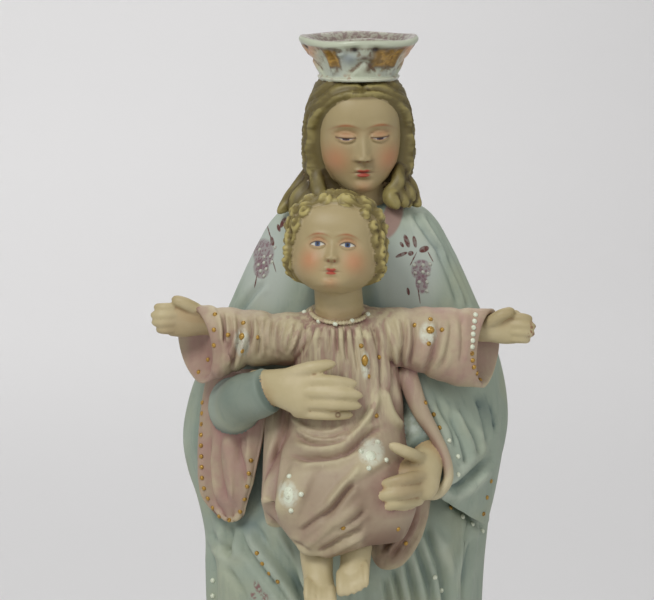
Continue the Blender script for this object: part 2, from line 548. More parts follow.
def face_relief(x, h, face):
    """How far a face stands out, in head heights: bells for the brow, nose, lips, chin and cheeks, a ball
    for each eye under lids with a rim, and grooves for the lid fold, nostrils and parted lips."""
    side = np.abs(x)
    foot, mouth, eyes, lips = face["nose_foot"], face["mouth"], face["eyes"], face["lips"]
    bridge = eyes + 0.06
    down = clamp((bridge - h) / (bridge - foot))
    nose = face["nose"] * down**1.25 * (1 - ease(0.93, 1.04, (bridge - h) / (bridge - foot)))
    relief = nose * bump(side, 0.034 + 0.022 * down)
    relief += 0.03 * bump(side - 0.05, 0.022) * bump(h - foot - 0.025, 0.024)
    relief -= 0.014 * bump(side - 0.03, 0.014) * bump(h - foot + 0.002, 0.01)
    relief -= 0.042 * bump(side - face["eye_out"], 0.1) * bump(h - eyes - 0.01, 0.055)
    across = (side - face["eye_out"]) / EYE_HALF_WIDTH
    over = h - eyes
    upper, lower = eye_edges(across, face)
    within = 1 - ease(0.85, 1.15, np.abs(across))
    ball = 0.036 * np.sqrt(np.maximum(0, 1 - across**2 * 0.9 - (over / 0.052) ** 2))
    opened = ease(0, 0.008, upper - over) * ease(0, 0.008, over - lower) * within
    rims = 0.006 * (bump(over - upper - 0.006, 0.008) + 0.7 * bump(over - lower + 0.006, 0.008))
    crease = 0.007 * bump(over - upper - 0.036, 0.008)
    relief = relief + ball - 0.008 * opened + (rims - crease) * within
    relief += 0.014 * bump(side - 0.15, 0.1) * bump(over - 0.1, 0.028)
    bow = 0.006 * bump(side, 0.02)
    full = 1 - ease(0.3, 1.15, side / lips)
    upper_lip = 0.026 * full * bump(h - mouth - 0.021 + bow, 0.017)
    lower_lip = 0.03 * full * bump(side, lips) * bump(h - mouth + 0.025, 0.019)
    parting = 0.015 * full * bump(h - mouth + 0.002 - 0.006 * bump(side, 0.03), 0.007)
    corners = 0.005 * bump(side - lips, 0.02) * bump(h - mouth, 0.02)
    philtrum = 0.008 * bump(side, 0.014) * bump(h - (mouth + foot) / 2 - 0.02, 0.03)
    relief = relief + upper_lip + lower_lip - parting - corners - philtrum
    relief += 0.034 * bump(side, 0.1) * bump(h - 0.065, 0.05)
    relief -= 0.012 * bump(side, 0.07) * bump(h - mouth + 0.07, 0.02)
    return relief + face["cheek"] * bump(side - 0.21, 0.11) * bump(h - foot + 0.02, 0.11)


def head_matrix(head):
    """From a head's own axes, in millimetres above the chin, to the figure's frame."""
    turn = Euler([np.radians(angle) for angle in head["turn"]], "XYZ").to_matrix().to_4x4()
    return Matrix.Translation(head["middle"]) @ turn @ Matrix.Translation((0, 0, -head["height"] / 2))


def placed(points, matrix):
    """Points carried into another frame."""
    m = np.array(matrix)
    return points @ m[:3, :3].T + m[:3, 3]


def head_point(head, from_front, h, grow):
    """A point of the skull at an angle from the front and a height: an ellipse, flatter in front, pushed
    outwards by grow, which turns upwards near the top."""
    _, bone, ahead, behind = np.moveaxis(at_first(HEAD_STATIONS, h), -1, 0)
    across = bone + head["fullness"] * bump(h - 0.17, 0.16)
    s, c = np.sin(from_front), np.cos(from_front)
    flat = np.where(c > 0, (np.abs(c) ** 2.4 + np.abs(s) ** 2.4) ** (-1 / 2.4), 1)
    rise = 1.2 * ease(0.55, 1, h)
    x = across * head["width"] * s * flat / 2 + grow * s * np.cos(rise)
    y = -np.where(c > 0, ahead, behind) * head["depth"] * c * flat / 2 - grow * c * np.cos(rise)
    return np.stack([x, y, h * head["height"] + grow * np.sin(rise)], -1)


def head_with_hair(head, face, hairline, columns, edge, hair, paint, rim_tint=0):
    """Head and hair as one skin. Inside edge(h) the columns carry the face; beyond it, and above the
    hairline, hair(from_front, h, cover) lifts them and says how much of each point is hair. With rim_tint
    the face's rim is hair too. columns counts those of half the face and half the hair, and the rows."""
    face_columns, hair_columns, rows = columns
    half = face_columns + hair_columns
    column = np.arange(2 * half)[None, :] - half
    h = np.linspace(0, 1, rows)[:, None] + 0 * column
    begin = edge(h)
    inside = clamp(np.abs(column) / face_columns)
    beyond = clamp((np.abs(column) - face_columns) / hair_columns)
    turned = begin * (0.45 * inside + 0.55 * inside**2) + (np.pi - begin) * beyond**1.15
    from_front = np.sign(column + 0.5) * turned
    cover = np.maximum(ease(0, 0.06, beyond), ease(hairline - 0.006, hairline + 0.012, h))
    grow, tint = hair(from_front, h, cover)
    tint = np.maximum(tint, ease(0.97, 1, inside) * rim_tint)
    points = head_point(head, from_front, h, grow)
    ahead = ease(0.15, 0.5, np.cos(from_front)) * (1 - tint)
    bare = face_relief(points[..., 0] / head["height"], h, face)
    points[..., 1] -= ahead * head["height"] * bare
    return closed_form(placed(points, head_matrix(head)), paint, tint=tint)


def pressed_curls(head, from_front, h, curls):
    """Soft curls pressed in the hair: round each middle a dome with a spiral groove; they run together by
    the logarithm of the summed exponentials. Gives the lift, and how far each point is inside a curl."""
    points = head_point(head, from_front, h, 2.0)
    total, within = np.ones(h.shape), np.zeros(h.shape)
    for turn, high, radius, hand in curls:
        turn, high, step = np.array(turn), np.array(high), 0.02
        middle = head_point(head, turn, high, 2.0)
        east = unit(head_point(head, turn + step, high, 2.0) - middle)
        north = unit(head_point(head, turn, high + step, 2.0) - middle)
        away = points - middle
        distance = np.linalg.norm(away, axis=-1)
        inside = clamp(1 - (distance / radius) ** 2)
        winding = hand * np.arctan2(away @ north, away @ east) + TAU * distance / (0.85 * radius)
        dome = 1.9 * inside**0.6 + 1.2 * fold(winding) * inside**0.5
        total += np.expm1(2.2 * dome * (inside > 0))
        within = np.maximum(within, inside)
    return np.log(total) / 2.2, within


# Height above her chin in head heights, and half the width over the hair there in millimetres
HAIR_HALF_WIDTHS = [
    [0, 21.6], [0.1, 23.2], [0.2, 24.6], [0.35, 24.9], [0.52, 24.4], [0.675, 22.9], [0.8, 20.6],
    [0.885, 18.4], [0.945, 16.6], [1.0, 4.5],
]


def wavy_locks(inner, outer, count, hand):
    """Locks side by side between an inner and an outer path: tapering tubes that wave as a sine across
    their length, grooved along it."""
    inner, outer = np.array(inner, float), np.array(outer, float)
    t = np.linspace(0, 1, 16)
    sizes = [[1, 1], [2, 2.2], [2.9, 3.1], [3.6, 3.6], [3.7, 3.7], [3.2, 3.2]]

    def grooves(angle, v):
        return 0.45 * fold(4 * angle + 3 * np.sin(TAU * 1.2 * v)) + 0.15 * fold(9 * angle + 7 * v)

    forms = []
    for n in range(count):
        path = between(inner + (outer - inner) * n / (count - 1), t)
        wave = 0.9 * np.sin(TAU * 2.2 * t + 1.9 * n) * ease(0.2, 0.5, t)
        path[:, 0] += hand * wave
        path[:, 1] -= 0.8 * np.cos(TAU * 2.2 * t + 1.3 * n) - 1.0 * (n % 2)
        forms.append(tube(path, sizes, MOTHER, 22, 40, (0.1, 0.2), grooves, tint=1.0))
    return forms


def mother_head_forms(bands):
    """Her head with parted hair in broad soft bands, locks that fall to the shoulders, and the neck."""
    hairline = 0.825

    def edge(h):
        return np.maximum(0.3, 1.2 * clamp((hairline + 0.006 - h) / 0.3) ** 0.32)

    def hair(from_front, h, cover):
        turned = np.abs(from_front)
        above = np.maximum(h - 0.5, 0) / 0.325
        ring = np.hypot(turned / 1.22, above)
        along = np.arctan2(turned / 1.22, above + 0.02) + 4.2 * np.maximum(0.5 - h, 0)
        wave = np.sin(7.4 * along + 2.2 * ring + 0.5 * np.sign(from_front)) * ease(0.1, 0.7, along)
        phase = TAU * bands * (ring - 1)
        relief = 1.3 * fold(phase + 1.6 * wave)
        relief += 0.8 * fold(2.3 * phase + 3.2 * wave + 0.6 * np.sin(5 * from_front))
        relief += 0.35 * fold(5.1 * phase + 5 * wave)
        relief *= 0.35 + 0.65 * ease(0, 0.16, turned)
        parting = 0.4 * bump(from_front, 0.07) * ease(hairline, hairline + 0.03, h)
        bone = at_first(HEAD_STATIONS, h)[..., 1] * head_half
        side = at_first(HAIR_HALF_WIDTHS, h)[..., 1] - bone
        front = 2.6 - 1.9 * ease(0.86, 0.95, h)
        grow = front + (side - front) * np.sin(from_front) ** 2
        return cover * (grow + relief * (1 - ease(0.94, 1, h)) - parting), ease(0.1, 0.6, cover)

    def back_waves(angle, v):
        return 1.9 * fold(9 * angle + 2.5 * np.sin(7 * v)) + 0.5 * fold(22 * angle + 5 * np.sin(7 * v))

    head_half = MOTHER_HEAD["width"] / 2
    left_inner = [
        [-11, -3, 372], [-14.2, -13, 364], [-14.2, -16, 357],
        [-12.6, -19, 350], [-14, -22, 343], [-18, -26, 336],
    ]
    left_outer = [
        [-13, -1, 372], [-16.4, -7, 364], [-17.4, -10, 357],
        [-20, -12, 350], [-25.6, -14, 344], [-30.8, -17, 337.5],
    ]
    right_inner = [
        [21, -3, 370], [23.8, -12, 362], [23.4, -16, 355],
        [21.4, -19, 350], [20.4, -21, 345.5], [22, -23, 340],
    ]
    right_outer = [
        [23, -1, 370], [25.6, -7, 361], [25.4, -10, 354.5],
        [26.8, -12, 350], [29.8, -14, 345.5], [32.5, -16, 340.5],
    ]
    back_path = [[6, 0, 368], [4, 6.5, 352], [2, 14.5, 336], [1, 23, 313]]
    back_sizes = [[16, 10], [20.5, 9], [21.5, 9], [14, 4.5]]
    neck_sizes = [[14, 13], [12, 12], [12, 13]]
    throat_sizes = [[28, 24], [20.5, 18.5], [13.5, 13]]
    return [
        head_with_hair(MOTHER_HEAD, MOTHER_FACE, hairline, (36, 34, 116), edge, hair, MOTHER, 1),
        tube([[5, 0, 328], [6, -6, 342], [6.5, -9, 356]], neck_sizes, MOTHER),
        tube([[6, -6, 318], [6, -8, 333], [6, -9, 341]], throat_sizes, GOWN, 40, 20),
        *wavy_locks(left_inner, left_outer, 4, -1),
        *wavy_locks(right_inner, right_outer, 4, 1),
        tube(back_path, back_sizes, MOTHER, 72, 48, (0, 0.2), back_waves, (0, 1, 0), tint=1.0),
    ]


# Rows of curls on each side: height in head heights, angle of the first from the front, step and number
CURL_ROWS = [
    [0.985, 0.5, 1.3, 2], [0.905, 0.34, 0.64, 5], [0.8, 0.8, 0.5, 5], [0.68, 1.0, 0.46, 5],
    [0.55, 1.14, 0.45, 5], [0.42, 1.22, 0.45, 5], [0.29, 1.34, 0.45, 4], [0.17, 1.62, 0.45, 4],
]


def child_head_forms(curl_radius):
    """The child's head: a cap of short hair with rows of pressed curls, two larger ones on the brow."""
    hairline = 0.885
    curls = []
    for h, first, step, count in CURL_ROWS:
        for n in range(count):
            for side in (-1, 1):
                radius = curl_radius * (1 + 0.2 * np.sin(7 * n + 13 * h + side))
                curls.append((side * (first + n * step), h, radius, side * (-1) ** n))

    def edge(h):
        brow = np.maximum(0.25, 1.12 * np.sqrt(clamp((hairline - h) / 0.11)))
        return brow + 0.4 * (1 - ease(0.14, 0.4, h))

    def hair(from_front, h, cover):
        lift, within = pressed_curls(CHILD_HEAD, from_front, h, curls)
        tint = np.maximum(ease(0.1, 0.6, cover) * ease(0.06, 0.12, h), ease(0.02, 0.14, within))
        strands = 0.35 * fold(40 * h + 3 * np.sin(5 * from_front)) * cover
        return cover * (2.0 + strands) * ease(0.04, 0.2, h) + lift, tint

    def crease(angle, v):
        return -0.6 * bump(v - 0.5, 0.03) * ease(0, 0.5, np.sin(angle))

    neck = [[-3, -48, 288], [-4, -52, 303], [-5, -56, 317]]
    neck_sizes = [[11.5, 10], [10.6, 10.5], [10.6, 10.5]]
    return [
        head_with_hair(CHILD_HEAD, CHILD_FACE, hairline, (36, 46, 112), edge, hair, CHILD),
        tube(neck, neck_sizes, CHILD, 32, 30, relief=crease),
    ]


# Crown

# The crown's wall from its foot over the lip and down inside: height, radius as a share of the foot's, and
# how much it is carved
CROWN_WALL = [
    [0, 1.0, 0], [0.07, 1.04, 0], [0.12, 0.98, 0.3], [0.25, 1.02, 1], [0.45, 1.13, 1],
    [0.6, 1.24, 1], [0.74, 1.36, 1], [0.82, 1.45, 0.3], [0.87, 1.5, 0], [0.95, 1.5, 0],
    [1.0, 1.4, 0], [0.82, 1.16, 0], [0.4, 0.84, 0],
]
CROWN_FOOT = (5, -14, 398)
CROWN_FOOT_RADIUS = 17.8
CROWN_HEIGHT = 18.6
CROWN_TILT = 0.045
CROWN_TURN = 0.11


def crown_form(motifs):
    """The open crown, tipped forward a little: its wall's profile carried round the head, carved between
    ribs with a gable, a knot, a stem, curled leaves and two small pits in each motif; the lip waves."""
    u, v = ring_and_row(176, 64, 0)
    h, radius, carved = np.moveaxis(between(CROWN_WALL, v), -1, 0)
    turn = np.abs(((u * motifs + 0.5) % 1) * 2 - 1)
    gable = 1 - ease(-0.08, 0.08, turn - 0.62 * (1 - h / 0.45))
    stem = bump(turn, 0.13) * ease(0.45, 0.7, h)
    rib = ease(0.86, 0.97, turn)
    leaf = bump(np.hypot((turn - 0.3) / 0.3, (h - 0.56) / 0.2), 0.75)
    scroll = bump(np.hypot((turn - 0.62) / 0.3, (h - 0.72) / 0.2) - 0.5, 0.25)
    raised = np.max([gable + 0 * h, stem, rib + 0 * h, 0.9 * leaf, 0.6 * scroll], axis=0)
    knot = 1.2 * bump(turn, 0.15) * bump(h - 0.55, 0.07)
    pits = -1.8 * bump(turn - 0.24, 0.055) * bump(h - 0.8, 0.05)
    veins = 0.3 * fold(TAU * 6 * turn + 5 * h) * (1 - raised)
    r = radius * CROWN_FOOT_RADIUS + carved * (1.7 * raised - 0.6 + knot + pits + veins)
    angle = FRONT + TAU * u + CROWN_TURN
    sag = 0.5 * (1 + 0.6 * np.cos(TAU * u)) * np.cos(np.pi * turn) * ease(0.6, 0.9, h)
    x, y, z = r * np.cos(angle), (1.12 - 0.14 * h) * r * np.sin(angle), h * CROWN_HEIGHT + sag
    points = np.stack([x, y - CROWN_TILT * z, z + CROWN_TILT * y + 0.6 * ease(0, 0.5, h)], -1)
    return closed_form(points + np.array(CROWN_FOOT), CROWN)


# Sleeves, hands and feet


def child_sleeve(path, sizes, lean, cut_back, bunching):
    """A wide sleeve: oval rings along a curve with bunched folds; at the mouth, cut back on the viewer's
    side, the skin turns over a round hem and runs back inside."""
    around, outside, inside = 76, 80, 16
    u = np.arange(around)[None, :] / around
    turned_in = [[1, 1], [1.006, 0.93], [0.985, 0.86], [0.9, 0.76], [0.8, 0.68]]
    pocket = between(turned_in, np.linspace(0, 1, inside + 1))
    rows = np.vstack([np.stack([np.linspace(0, 1, outside + 1), np.ones(outside + 1)], -1), pocket[1:]])
    t, narrow = rows[:, :1], rows[:, 1:]
    angle = TAU * u
    tangent, side, out = carried_axes(path, np.minimum(t, 0.999), TOWARDS_VIEWER)
    size = between(sizes, t)
    depth = bunching * ease(0, 0.1, t) * (1 - ease(0.75, 0.95, t))
    phase = TAU * 5 * t + lean * np.sin(angle)
    lift = depth * (fold(phase) + 0.25 * fold(2 * phase + 1.5 * np.cos(angle)))
    lift = np.where(narrow == 1, lift, 0)
    point = between(path, t) + (np.maximum(t, 1) - 1)[..., None] * 40 * tangent
    back = -cut_back * np.sin(angle) * ease(0.5, 1, t)
    point = point + back[..., None] * tangent
    point = point + ((size[..., 0] * narrow + lift) * np.cos(angle))[..., None] * side
    point = point + ((size[..., 1] * narrow + lift) * np.sin(angle))[..., None] * out
    return closed_form(point, GOWN, CHILD_FOLDS)


def child_sleeves():
    """The child's wide sleeves, on arms held out to both sides."""
    left = [[-12, -48, 287], [-30, -50, 284.6], [-45, -49, 285.2], [-57, -47, 283.4], [-67.5, -44, 281.8]]
    left_sizes = [[11, 12], [11.4, 12], [12.6, 12], [15.6, 11.5], [18, 10.5]]
    right = [[6, -48, 288], [24, -50, 285.6], [36, -49, 284], [49, -47, 281], [62.2, -44, 279.8]]
    right_sizes = [[11, 12], [13, 12], [15, 12], [17.2, 11.5], [17.8, 10]]
    return [child_sleeve(left, left_sizes, 0.5, 11, 0.9), child_sleeve(right, right_sizes, -0.7, 7.8, 0.6)]


def finger(knuckle, joint, tip, radius, paint):
    """A finger: a tube from deep in the palm, which swells a little at the joint and narrows to its tip."""
    knuckle, joint = np.array(knuckle, float), np.array(joint, float)
    root = knuckle + 0.35 * (knuckle - joint) + np.array([0, 2.4, 0])
    sizes = [[radius, radius], [radius, radius], [radius * 1.02, radius], [radius * 0.78, radius * 0.72]]
    return tube([root, knuckle, joint, tip], sizes, paint, 14, 20, (0.15, 0.14))


# The chip on the mother's little finger, and the child's worn fingertips
CHIP = (-4.4, -77.5, 254.9)
WORN_TIPS = (82.5, 287.5)


def mother_fingers(rows, r):
    """Her thumb and four fingers: knuckle, joint, tip, and the radius as a share of r."""
    return [finger(*joints, r * share, MOTHER) for *joints, share in rows]


def mother_right_hand(r):
    """The hand on the left of the view, laid across the child."""
    palm = [[-41, -56, 264], [-32, -66, 265.5], [-21, -73, 265], [-14, -74.5, 263.5]]
    rows = [
        ([-28, -70, 271.5], [-16.5, -76, 275.7], [-5, -75, 277.5], 1.05),
        ([-18.5, -74.5, 269.9], [-7.5, -77.5, 270.1], [4.4, -74.5, 268.2], 1),
        ([-18.5, -75.5, 264.9], [-6, -78.5, 265.1], [6.8, -75.5, 263.3], 1.03),
        ([-19, -74.5, 259.9], [-6.5, -77.5, 259.9], [6.2, -74.5, 258.7], 1),
        ([-20, -72.5, 255.3], [-9, -74.5, 254.8], [2.6, -71.5, 254.2], 0.92),
    ]
    sizes = [[8, 6.5], [8.2, 5.4], [10.8, 4.6], [9.8, 3.4]]
    return [tube(palm, sizes, MOTHER, ends=(0, 0.12)), *mother_fingers(rows, r)]


def mother_left_hand(r):
    """The hand on the right of the view, laid on the child's lap."""
    palm = [[36.5, -48, 237], [35, -61, 232], [31, -70, 226.5], [26.6, -74, 219.5]]
    rows = [
        ([33, -65, 233.5], [27, -76, 237.8], [17.5, -80, 242.8], 1.05),
        ([33, -72, 227.4], [24, -81, 227.4], [13.5, -80, 224.6], 1),
        ([32, -73.5, 221.6], [22, -82, 221.8], [10.6, -80.5, 219.2], 1.03),
        ([29, -73, 216.4], [20.5, -80.5, 216.6], [11.2, -79, 214], 1),
        ([27.5, -70, 214.5], [20.5, -77, 212.4], [13.6, -77, 209.4], 0.9),
    ]
    return [tube(palm, [[6.4, 6], [7.4, 6], [10.4, 5.4], [9.6, 4]], MOTHER), *mother_fingers(rows, r)]


def child_hand(r, x, z, inwards, first, thumb):
    """An open hand: a palm, a thumb and four short fingers side by side. inwards is 1 for the hand on the
    left of the view and -1 for the other."""
    palm = [
        [x + 16 * inwards, -42, z - 1],
        [x, -43, z],
        [x - 9 * inwards, -44.3, z + 0.9],
        [x - 18 * inwards, -45.5, z + 1.7],
    ]
    palm_sizes = [[5.2, 4.6], [5.8, 4.6], [7.6, 3.8], [7.4, 2.8]]
    forms = [tube(palm, palm_sizes, CHILD, ends=(0, 0.12)), finger(*thumb, r * 1.3, CHILD)]
    for rise, length, proud in [[5.4, 9, 0], [2, 10.5, 1], [-1.3, 10, 1], [-4.5, 8, 0]]:
        y = -45.5 - proud
        low = z + 1.6 + (rise if inwards > 0 else 0.95 * rise - 1.2)
        tip = [first - length * inwards, y + 0.5, low - (0 if inwards > 0 else 1)]
        middle = [first - length / 2 * inwards, y - 1.2, low]
        forms.append(finger([first, y, low], middle, tip, r, CHILD))
    return forms


def child_leg(path, outward):
    """A shin that ends in a foot with five toes, the great toe on the inside."""
    x, _, z = path[-1]
    forms = [tube(path, [[7.6, 6.6], [7.4, 6.6], [6.6, 6], [7, 5.4], [6.4, 3.4]], CHILD, 28, 32, (0, 0.2))]
    for toe in range(5):
        size = 2.3 if toe == 0 else 1.9 - 0.1 * toe
        across = x - outward * (4.8 - toe * 2.7)
        high = z + 0.25 * toe**2
        ends = [across, -81, high + 5], [across, -85, high + 1], [across, -86.4, high - 3]
        forms.append(finger(*ends, size, CHILD))
    return forms


def mother_feet():
    """The tips of her feet under the hem."""
    sizes = [[8, 6], [7, 5], [4.6, 3.4]]
    paths = [[[x, -40, 18], [x * 1.08, -48, 17], [x * 1.12, -54.5, 15.4]] for x in (-13, 16)]
    return [tube(path, sizes, MOTHER, ends=(0, 0.35)) for path in paths]


def sleeve_and_mantle_forms():
    """Her two sleeves, the hanging lining of one, and the mantle thrown over the other arm with its edge
    rolled back."""

    def sleeve(path, sizes, turns, lean):
        def wrinkles(angle, v):
            return 0.7 * fold(TAU * turns * v + lean * np.sin(angle + turns))

        return tube(path, sizes, MANTLE, 44, 36, (0, 0.04), wrinkles, UP)

    lining_left = [
        [-63, -16, 268], [-66.2, -19, 250], [-67.6, -20, 233],
        [-66.4, -22, 216], [-61.5, -25, 205], [-54.5, -29, 200],
    ]
    lining_right = [
        [-36, -46, 268], [-36.5, -47, 247], [-39.5, -45, 230],
        [-43, -41, 216], [-46.5, -36, 205.5], [-50, -31.5, 199.5],
    ]
    rolled = at_depth([
        (26, -49, 266), (29.5, -52, 256), (33.8, -55, 245), (39.4, -57, 235.5), (43.8, -59.5, 227),
        (46.2, -61.5, 219.5), (46, -63.5, 213), (42, -65, 208), (36, -66, 205.5),
    ])
    rolled_sizes = [
        [5, 3], [4.4, 3.2], [3.8, 3.2], [2.9, 3.2], [2.5, 3],
        [2.3, 2.8], [2.3, 2.8], [2.6, 2.8], [2.4, 2.4],
    ]
    panel_left = at_depth([
        (29, -39, 266), (34, -43, 252), (39.5, -45, 241), (42.5, -48, 232.5),
        (45, -51, 225), (46, -53, 218), (45.5, -54, 212), (41.5, -54, 206.5),
    ])
    panel_right = [
        [68.5, -2, 270], [73, -2, 248], [72.5, -4, 235],
        [70, -10, 222], [67, -17, 209], [63.2, -26, 196.5],
    ]
    panel_bulge = [[7], [9], [10], [10], [9], [5]]
    return [
        sleeve([[-50, -6, 252], [-51, -34, 252], [-45.5, -55, 258.5], [-33.5, -65, 264.6]],
               [[12, 14], [11, 13], [10, 11.2], [8.8, 9.8]], 3.2, 1.5),
        sleeve([[40, -8, 240], [39, -34, 237], [35.5, -55, 233.5]], [[9, 11], [8, 10], [6.8, 8]], 3, 1.2),
        tube([[33, -24, 262], [29.8, -40, 251], [30, -48.5, 243], [33, -54, 236]],
             [[10, 10], [8.6, 8], [8, 6.5], [7, 6]], MANTLE, 40, 32,
             relief=lambda angle, v: 0.7 * fold(TAU * 3 * v + 1.5 * np.sin(angle))),
        panel(lining_left, lining_right, [[5], [6], [7], [7], [5], [3]], 14, 4, 1.2, GOWN,
              LINING_FOLDS + LINING_RIM, 104, 84),
        tube(rolled, rolled_sizes, GOWN, 24, 64, (0.05, 0.1)),
        panel(panel_left, panel_right, panel_bulge, 12, 5, 1.2, MANTLE, PANEL_FOLDS, 112, 70),
        tube([[24, -46, 236], [24.5, -51, 214], [21, -56, 197], [15, -58, 183]],
             [[12, 10], [12.5, 10], [10.5, 8], [6, 5]], GOWN, 84, 48, folds=FLAP_FOLDS,
             relief=lambda angle, v: 0.8 * fold(7 * angle + 0.9 * np.sin(5 * v))),
        tube([[-29, -46, 254], [-31.5, -53, 232], [-32, -59, 214], [-29.5, -63, 203]],
             [[7.4, 8], [6, 9], [5.6, 10], [6, 8]], GOWN, 48, 48, (0, 0.12), folds=LAP_FOLDS),
    ]


# Meshes


def join_forms(forms):
    """Several forms as one, still overlapping; they have one area between them."""
    starts = np.cumsum([0, *[len(form["verts"]) for form in forms]])
    return {
        "verts": np.vstack([form["verts"] for form in forms]),
        "quads": np.vstack([form["quads"] + start for form, start in zip(forms, starts)]),
        "tris": np.vstack([form["tris"] + start for form, start in zip(forms, starts)]),
        "area": forms[0]["area"],
        "tint": np.concatenate([form["tint"] for form in forms]),
    }


def mesh_from(form, name):
    """A Blender mesh of a form, in metres, smooth, with the paint area of each face as its material."""
    mesh = bpy.data.meshes.new(name)
    quads, tris = form["quads"], form["tris"]
    loops = np.concatenate([quads.ravel(), tris.ravel()]).astype(np.int32)
    starts = np.concatenate([np.arange(len(quads)) * 4, len(quads) * 4 + np.arange(len(tris)) * 3])
    mesh.vertices.add(len(form["verts"]))
    mesh.vertices.foreach_set("co", (form["verts"] * MM).ravel())
    mesh.loops.add(len(loops))
    mesh.loops.foreach_set("vertex_index", loops)
    mesh.polygons.add(len(starts))
    mesh.polygons.foreach_set("loop_start", starts.astype(np.int32))
    mesh.polygons.foreach_set("material_index", np.full(len(starts), form["area"], np.int32))
    mesh.update(calc_edges=True)
    mesh.shade_smooth()
    tint = mesh.attributes.new("tint", "FLOAT", "POINT")
    tint.data.foreach_set("value", (KNOWN + form["tint"]).astype(np.float32))
    return mesh


def linked(mesh, name):
    """A new object in the scene for a mesh, a lamp or a camera."""
    obj = bpy.data.objects.new(name, mesh)
    bpy.context.scene.collection.objects.link(obj)
    return obj


def evaluated_mesh(obj):
    """The mesh of an object with its modifiers, as a mesh of its own."""
    bpy.context.view_layer.update()
    return bpy.data.meshes.new_from_object(obj.evaluated_get(bpy.context.evaluated_depsgraph_get()))


def melted(forms, voxel, rounds):
    """Overlapping forms melted into one even skin: a voxel remesh and a few rounds of smoothing."""
    obj = linked(mesh_from(join_forms(forms), "melting"), "melting")
    remesh = obj.modifiers.new("remesh", "REMESH")
    remesh.mode = "VOXEL"
    remesh.voxel_size = voxel * MM
    remesh.use_smooth_shade = True
    smooth = obj.modifiers.new("smooth", "SMOOTH")
    smooth.iterations = rounds
    mesh = evaluated_mesh(obj)
    bpy.data.objects.remove(obj)
    mesh.polygons.foreach_set("material_index", np.full(len(mesh.polygons), forms[0]["area"], np.int32))
    tint = mesh.attributes.new("tint", "FLOAT", "POINT")
    tint.data.foreach_set("value", np.full(len(mesh.vertices), KNOWN, np.float32))
    return mesh


def melted_limbs(finger_radius, small_radius, melt):
    """All four hands and the child's legs, each melted into one skin."""
    left_thumb = [-64.5, -45, 296], [-71.5, -48, 300.2], [-78, -47.5, 302.6]
    right_thumb = [61, -45, 290], [67.5, -48.5, 295], [74, -48, 297.4]
    left_leg = [[-14.5, -56, 214], [-13.8, -68, 193], [-13, -73, 183], [-12.4, -77, 177], [-12, -80, 172.5]]
    right_leg = [[3.8, -56, 216], [3.6, -68, 199], [3.2, -74, 189], [2.4, -78, 184], [1.8, -81, 179.5]]
    return [
        dented(melted(mother_right_hand(finger_radius), melt, 4), CHIP, 1, 0.6),
        melted(mother_left_hand(finger_radius), melt, 4),
        melted(child_hand(small_radius, -63, 291.4, 1, -77, left_thumb), melt * 0.8, 4),
        melted(child_hand(small_radius, 60.5, 288.3, -1, 73, right_thumb), melt * 0.8, 4),
        melted(child_leg(left_leg, -1), melt, 3),
        melted(child_leg(right_leg, 1), melt, 3),
    ]


def united(meshes, name, materials):
    """One skin round all the meshes: a Boolean union, which drops whatever lies inside."""
    cutter = bpy.data.collections.new("joined_forms")
    objects = []
    for n, mesh in enumerate(meshes):
        for material in materials:
            mesh.materials.append(material)
        obj = bpy.data.objects.new(f"form_{n}", mesh)
        (cutter if n else bpy.context.scene.collection).objects.link(obj)
        objects.append(obj)
    join = objects[0].modifiers.new("join", "BOOLEAN")
    join.operation = "UNION"
    join.solver = "MANIFOLD"
    join.operand_type = "COLLECTION"
    join.collection = cutter
    result = evaluated_mesh(objects[0])
    for obj in objects:
        used = obj.data
        bpy.data.objects.remove(obj)
        bpy.data.meshes.remove(used)
    bpy.data.collections.remove(cutter)
    result.name = name
    return result


def read_points(mesh):
    """The mesh's points as rows of x, y and z."""
    points = np.empty(len(mesh.vertices) * 3, np.float32)
    mesh.vertices.foreach_get("co", points)
    return points.reshape(-1, 3).astype(float)


def read_edges(mesh):
    """The mesh's edges as rows of two point numbers."""
    edges = np.empty(len(mesh.edges) * 2, np.int32)
    mesh.edges.foreach_get("vertices", edges)
    return edges.reshape(-1, 2)


def neighbour_mean(values, edges):
    """For each point the mean of its neighbours' values: sums over the edges, divided by their number."""
    count = len(values)
    number = np.maximum(np.bincount(edges.ravel(), minlength=count), 1)
    ends, others = np.concatenate([edges[:, 0], edges[:, 1]]), np.concatenate([edges[:, 1], edges[:, 0]])
    sums = [np.bincount(ends, values[others, axis], count) for axis in range(values.shape[1])]
    return np.stack(sums, -1) / number[:, None]


def dented(mesh, place, width, depth):
    """A chip knocked out of the skin: the points round a place, in millimetres, are pushed in by a bell."""
    points = read_points(mesh)
    normals = np.empty(len(mesh.vertices) * 3, np.float32)
    mesh.vertex_normals.foreach_get("vector", normals)
    distance = np.linalg.norm(points / MM - np.array(place), axis=1)
    points -= (depth * MM * bump(distance, width))[:, None] * normals.reshape(-1, 3)
    mesh.vertices.foreach_set("co", points.ravel())
    mesh.update()
    return mesh


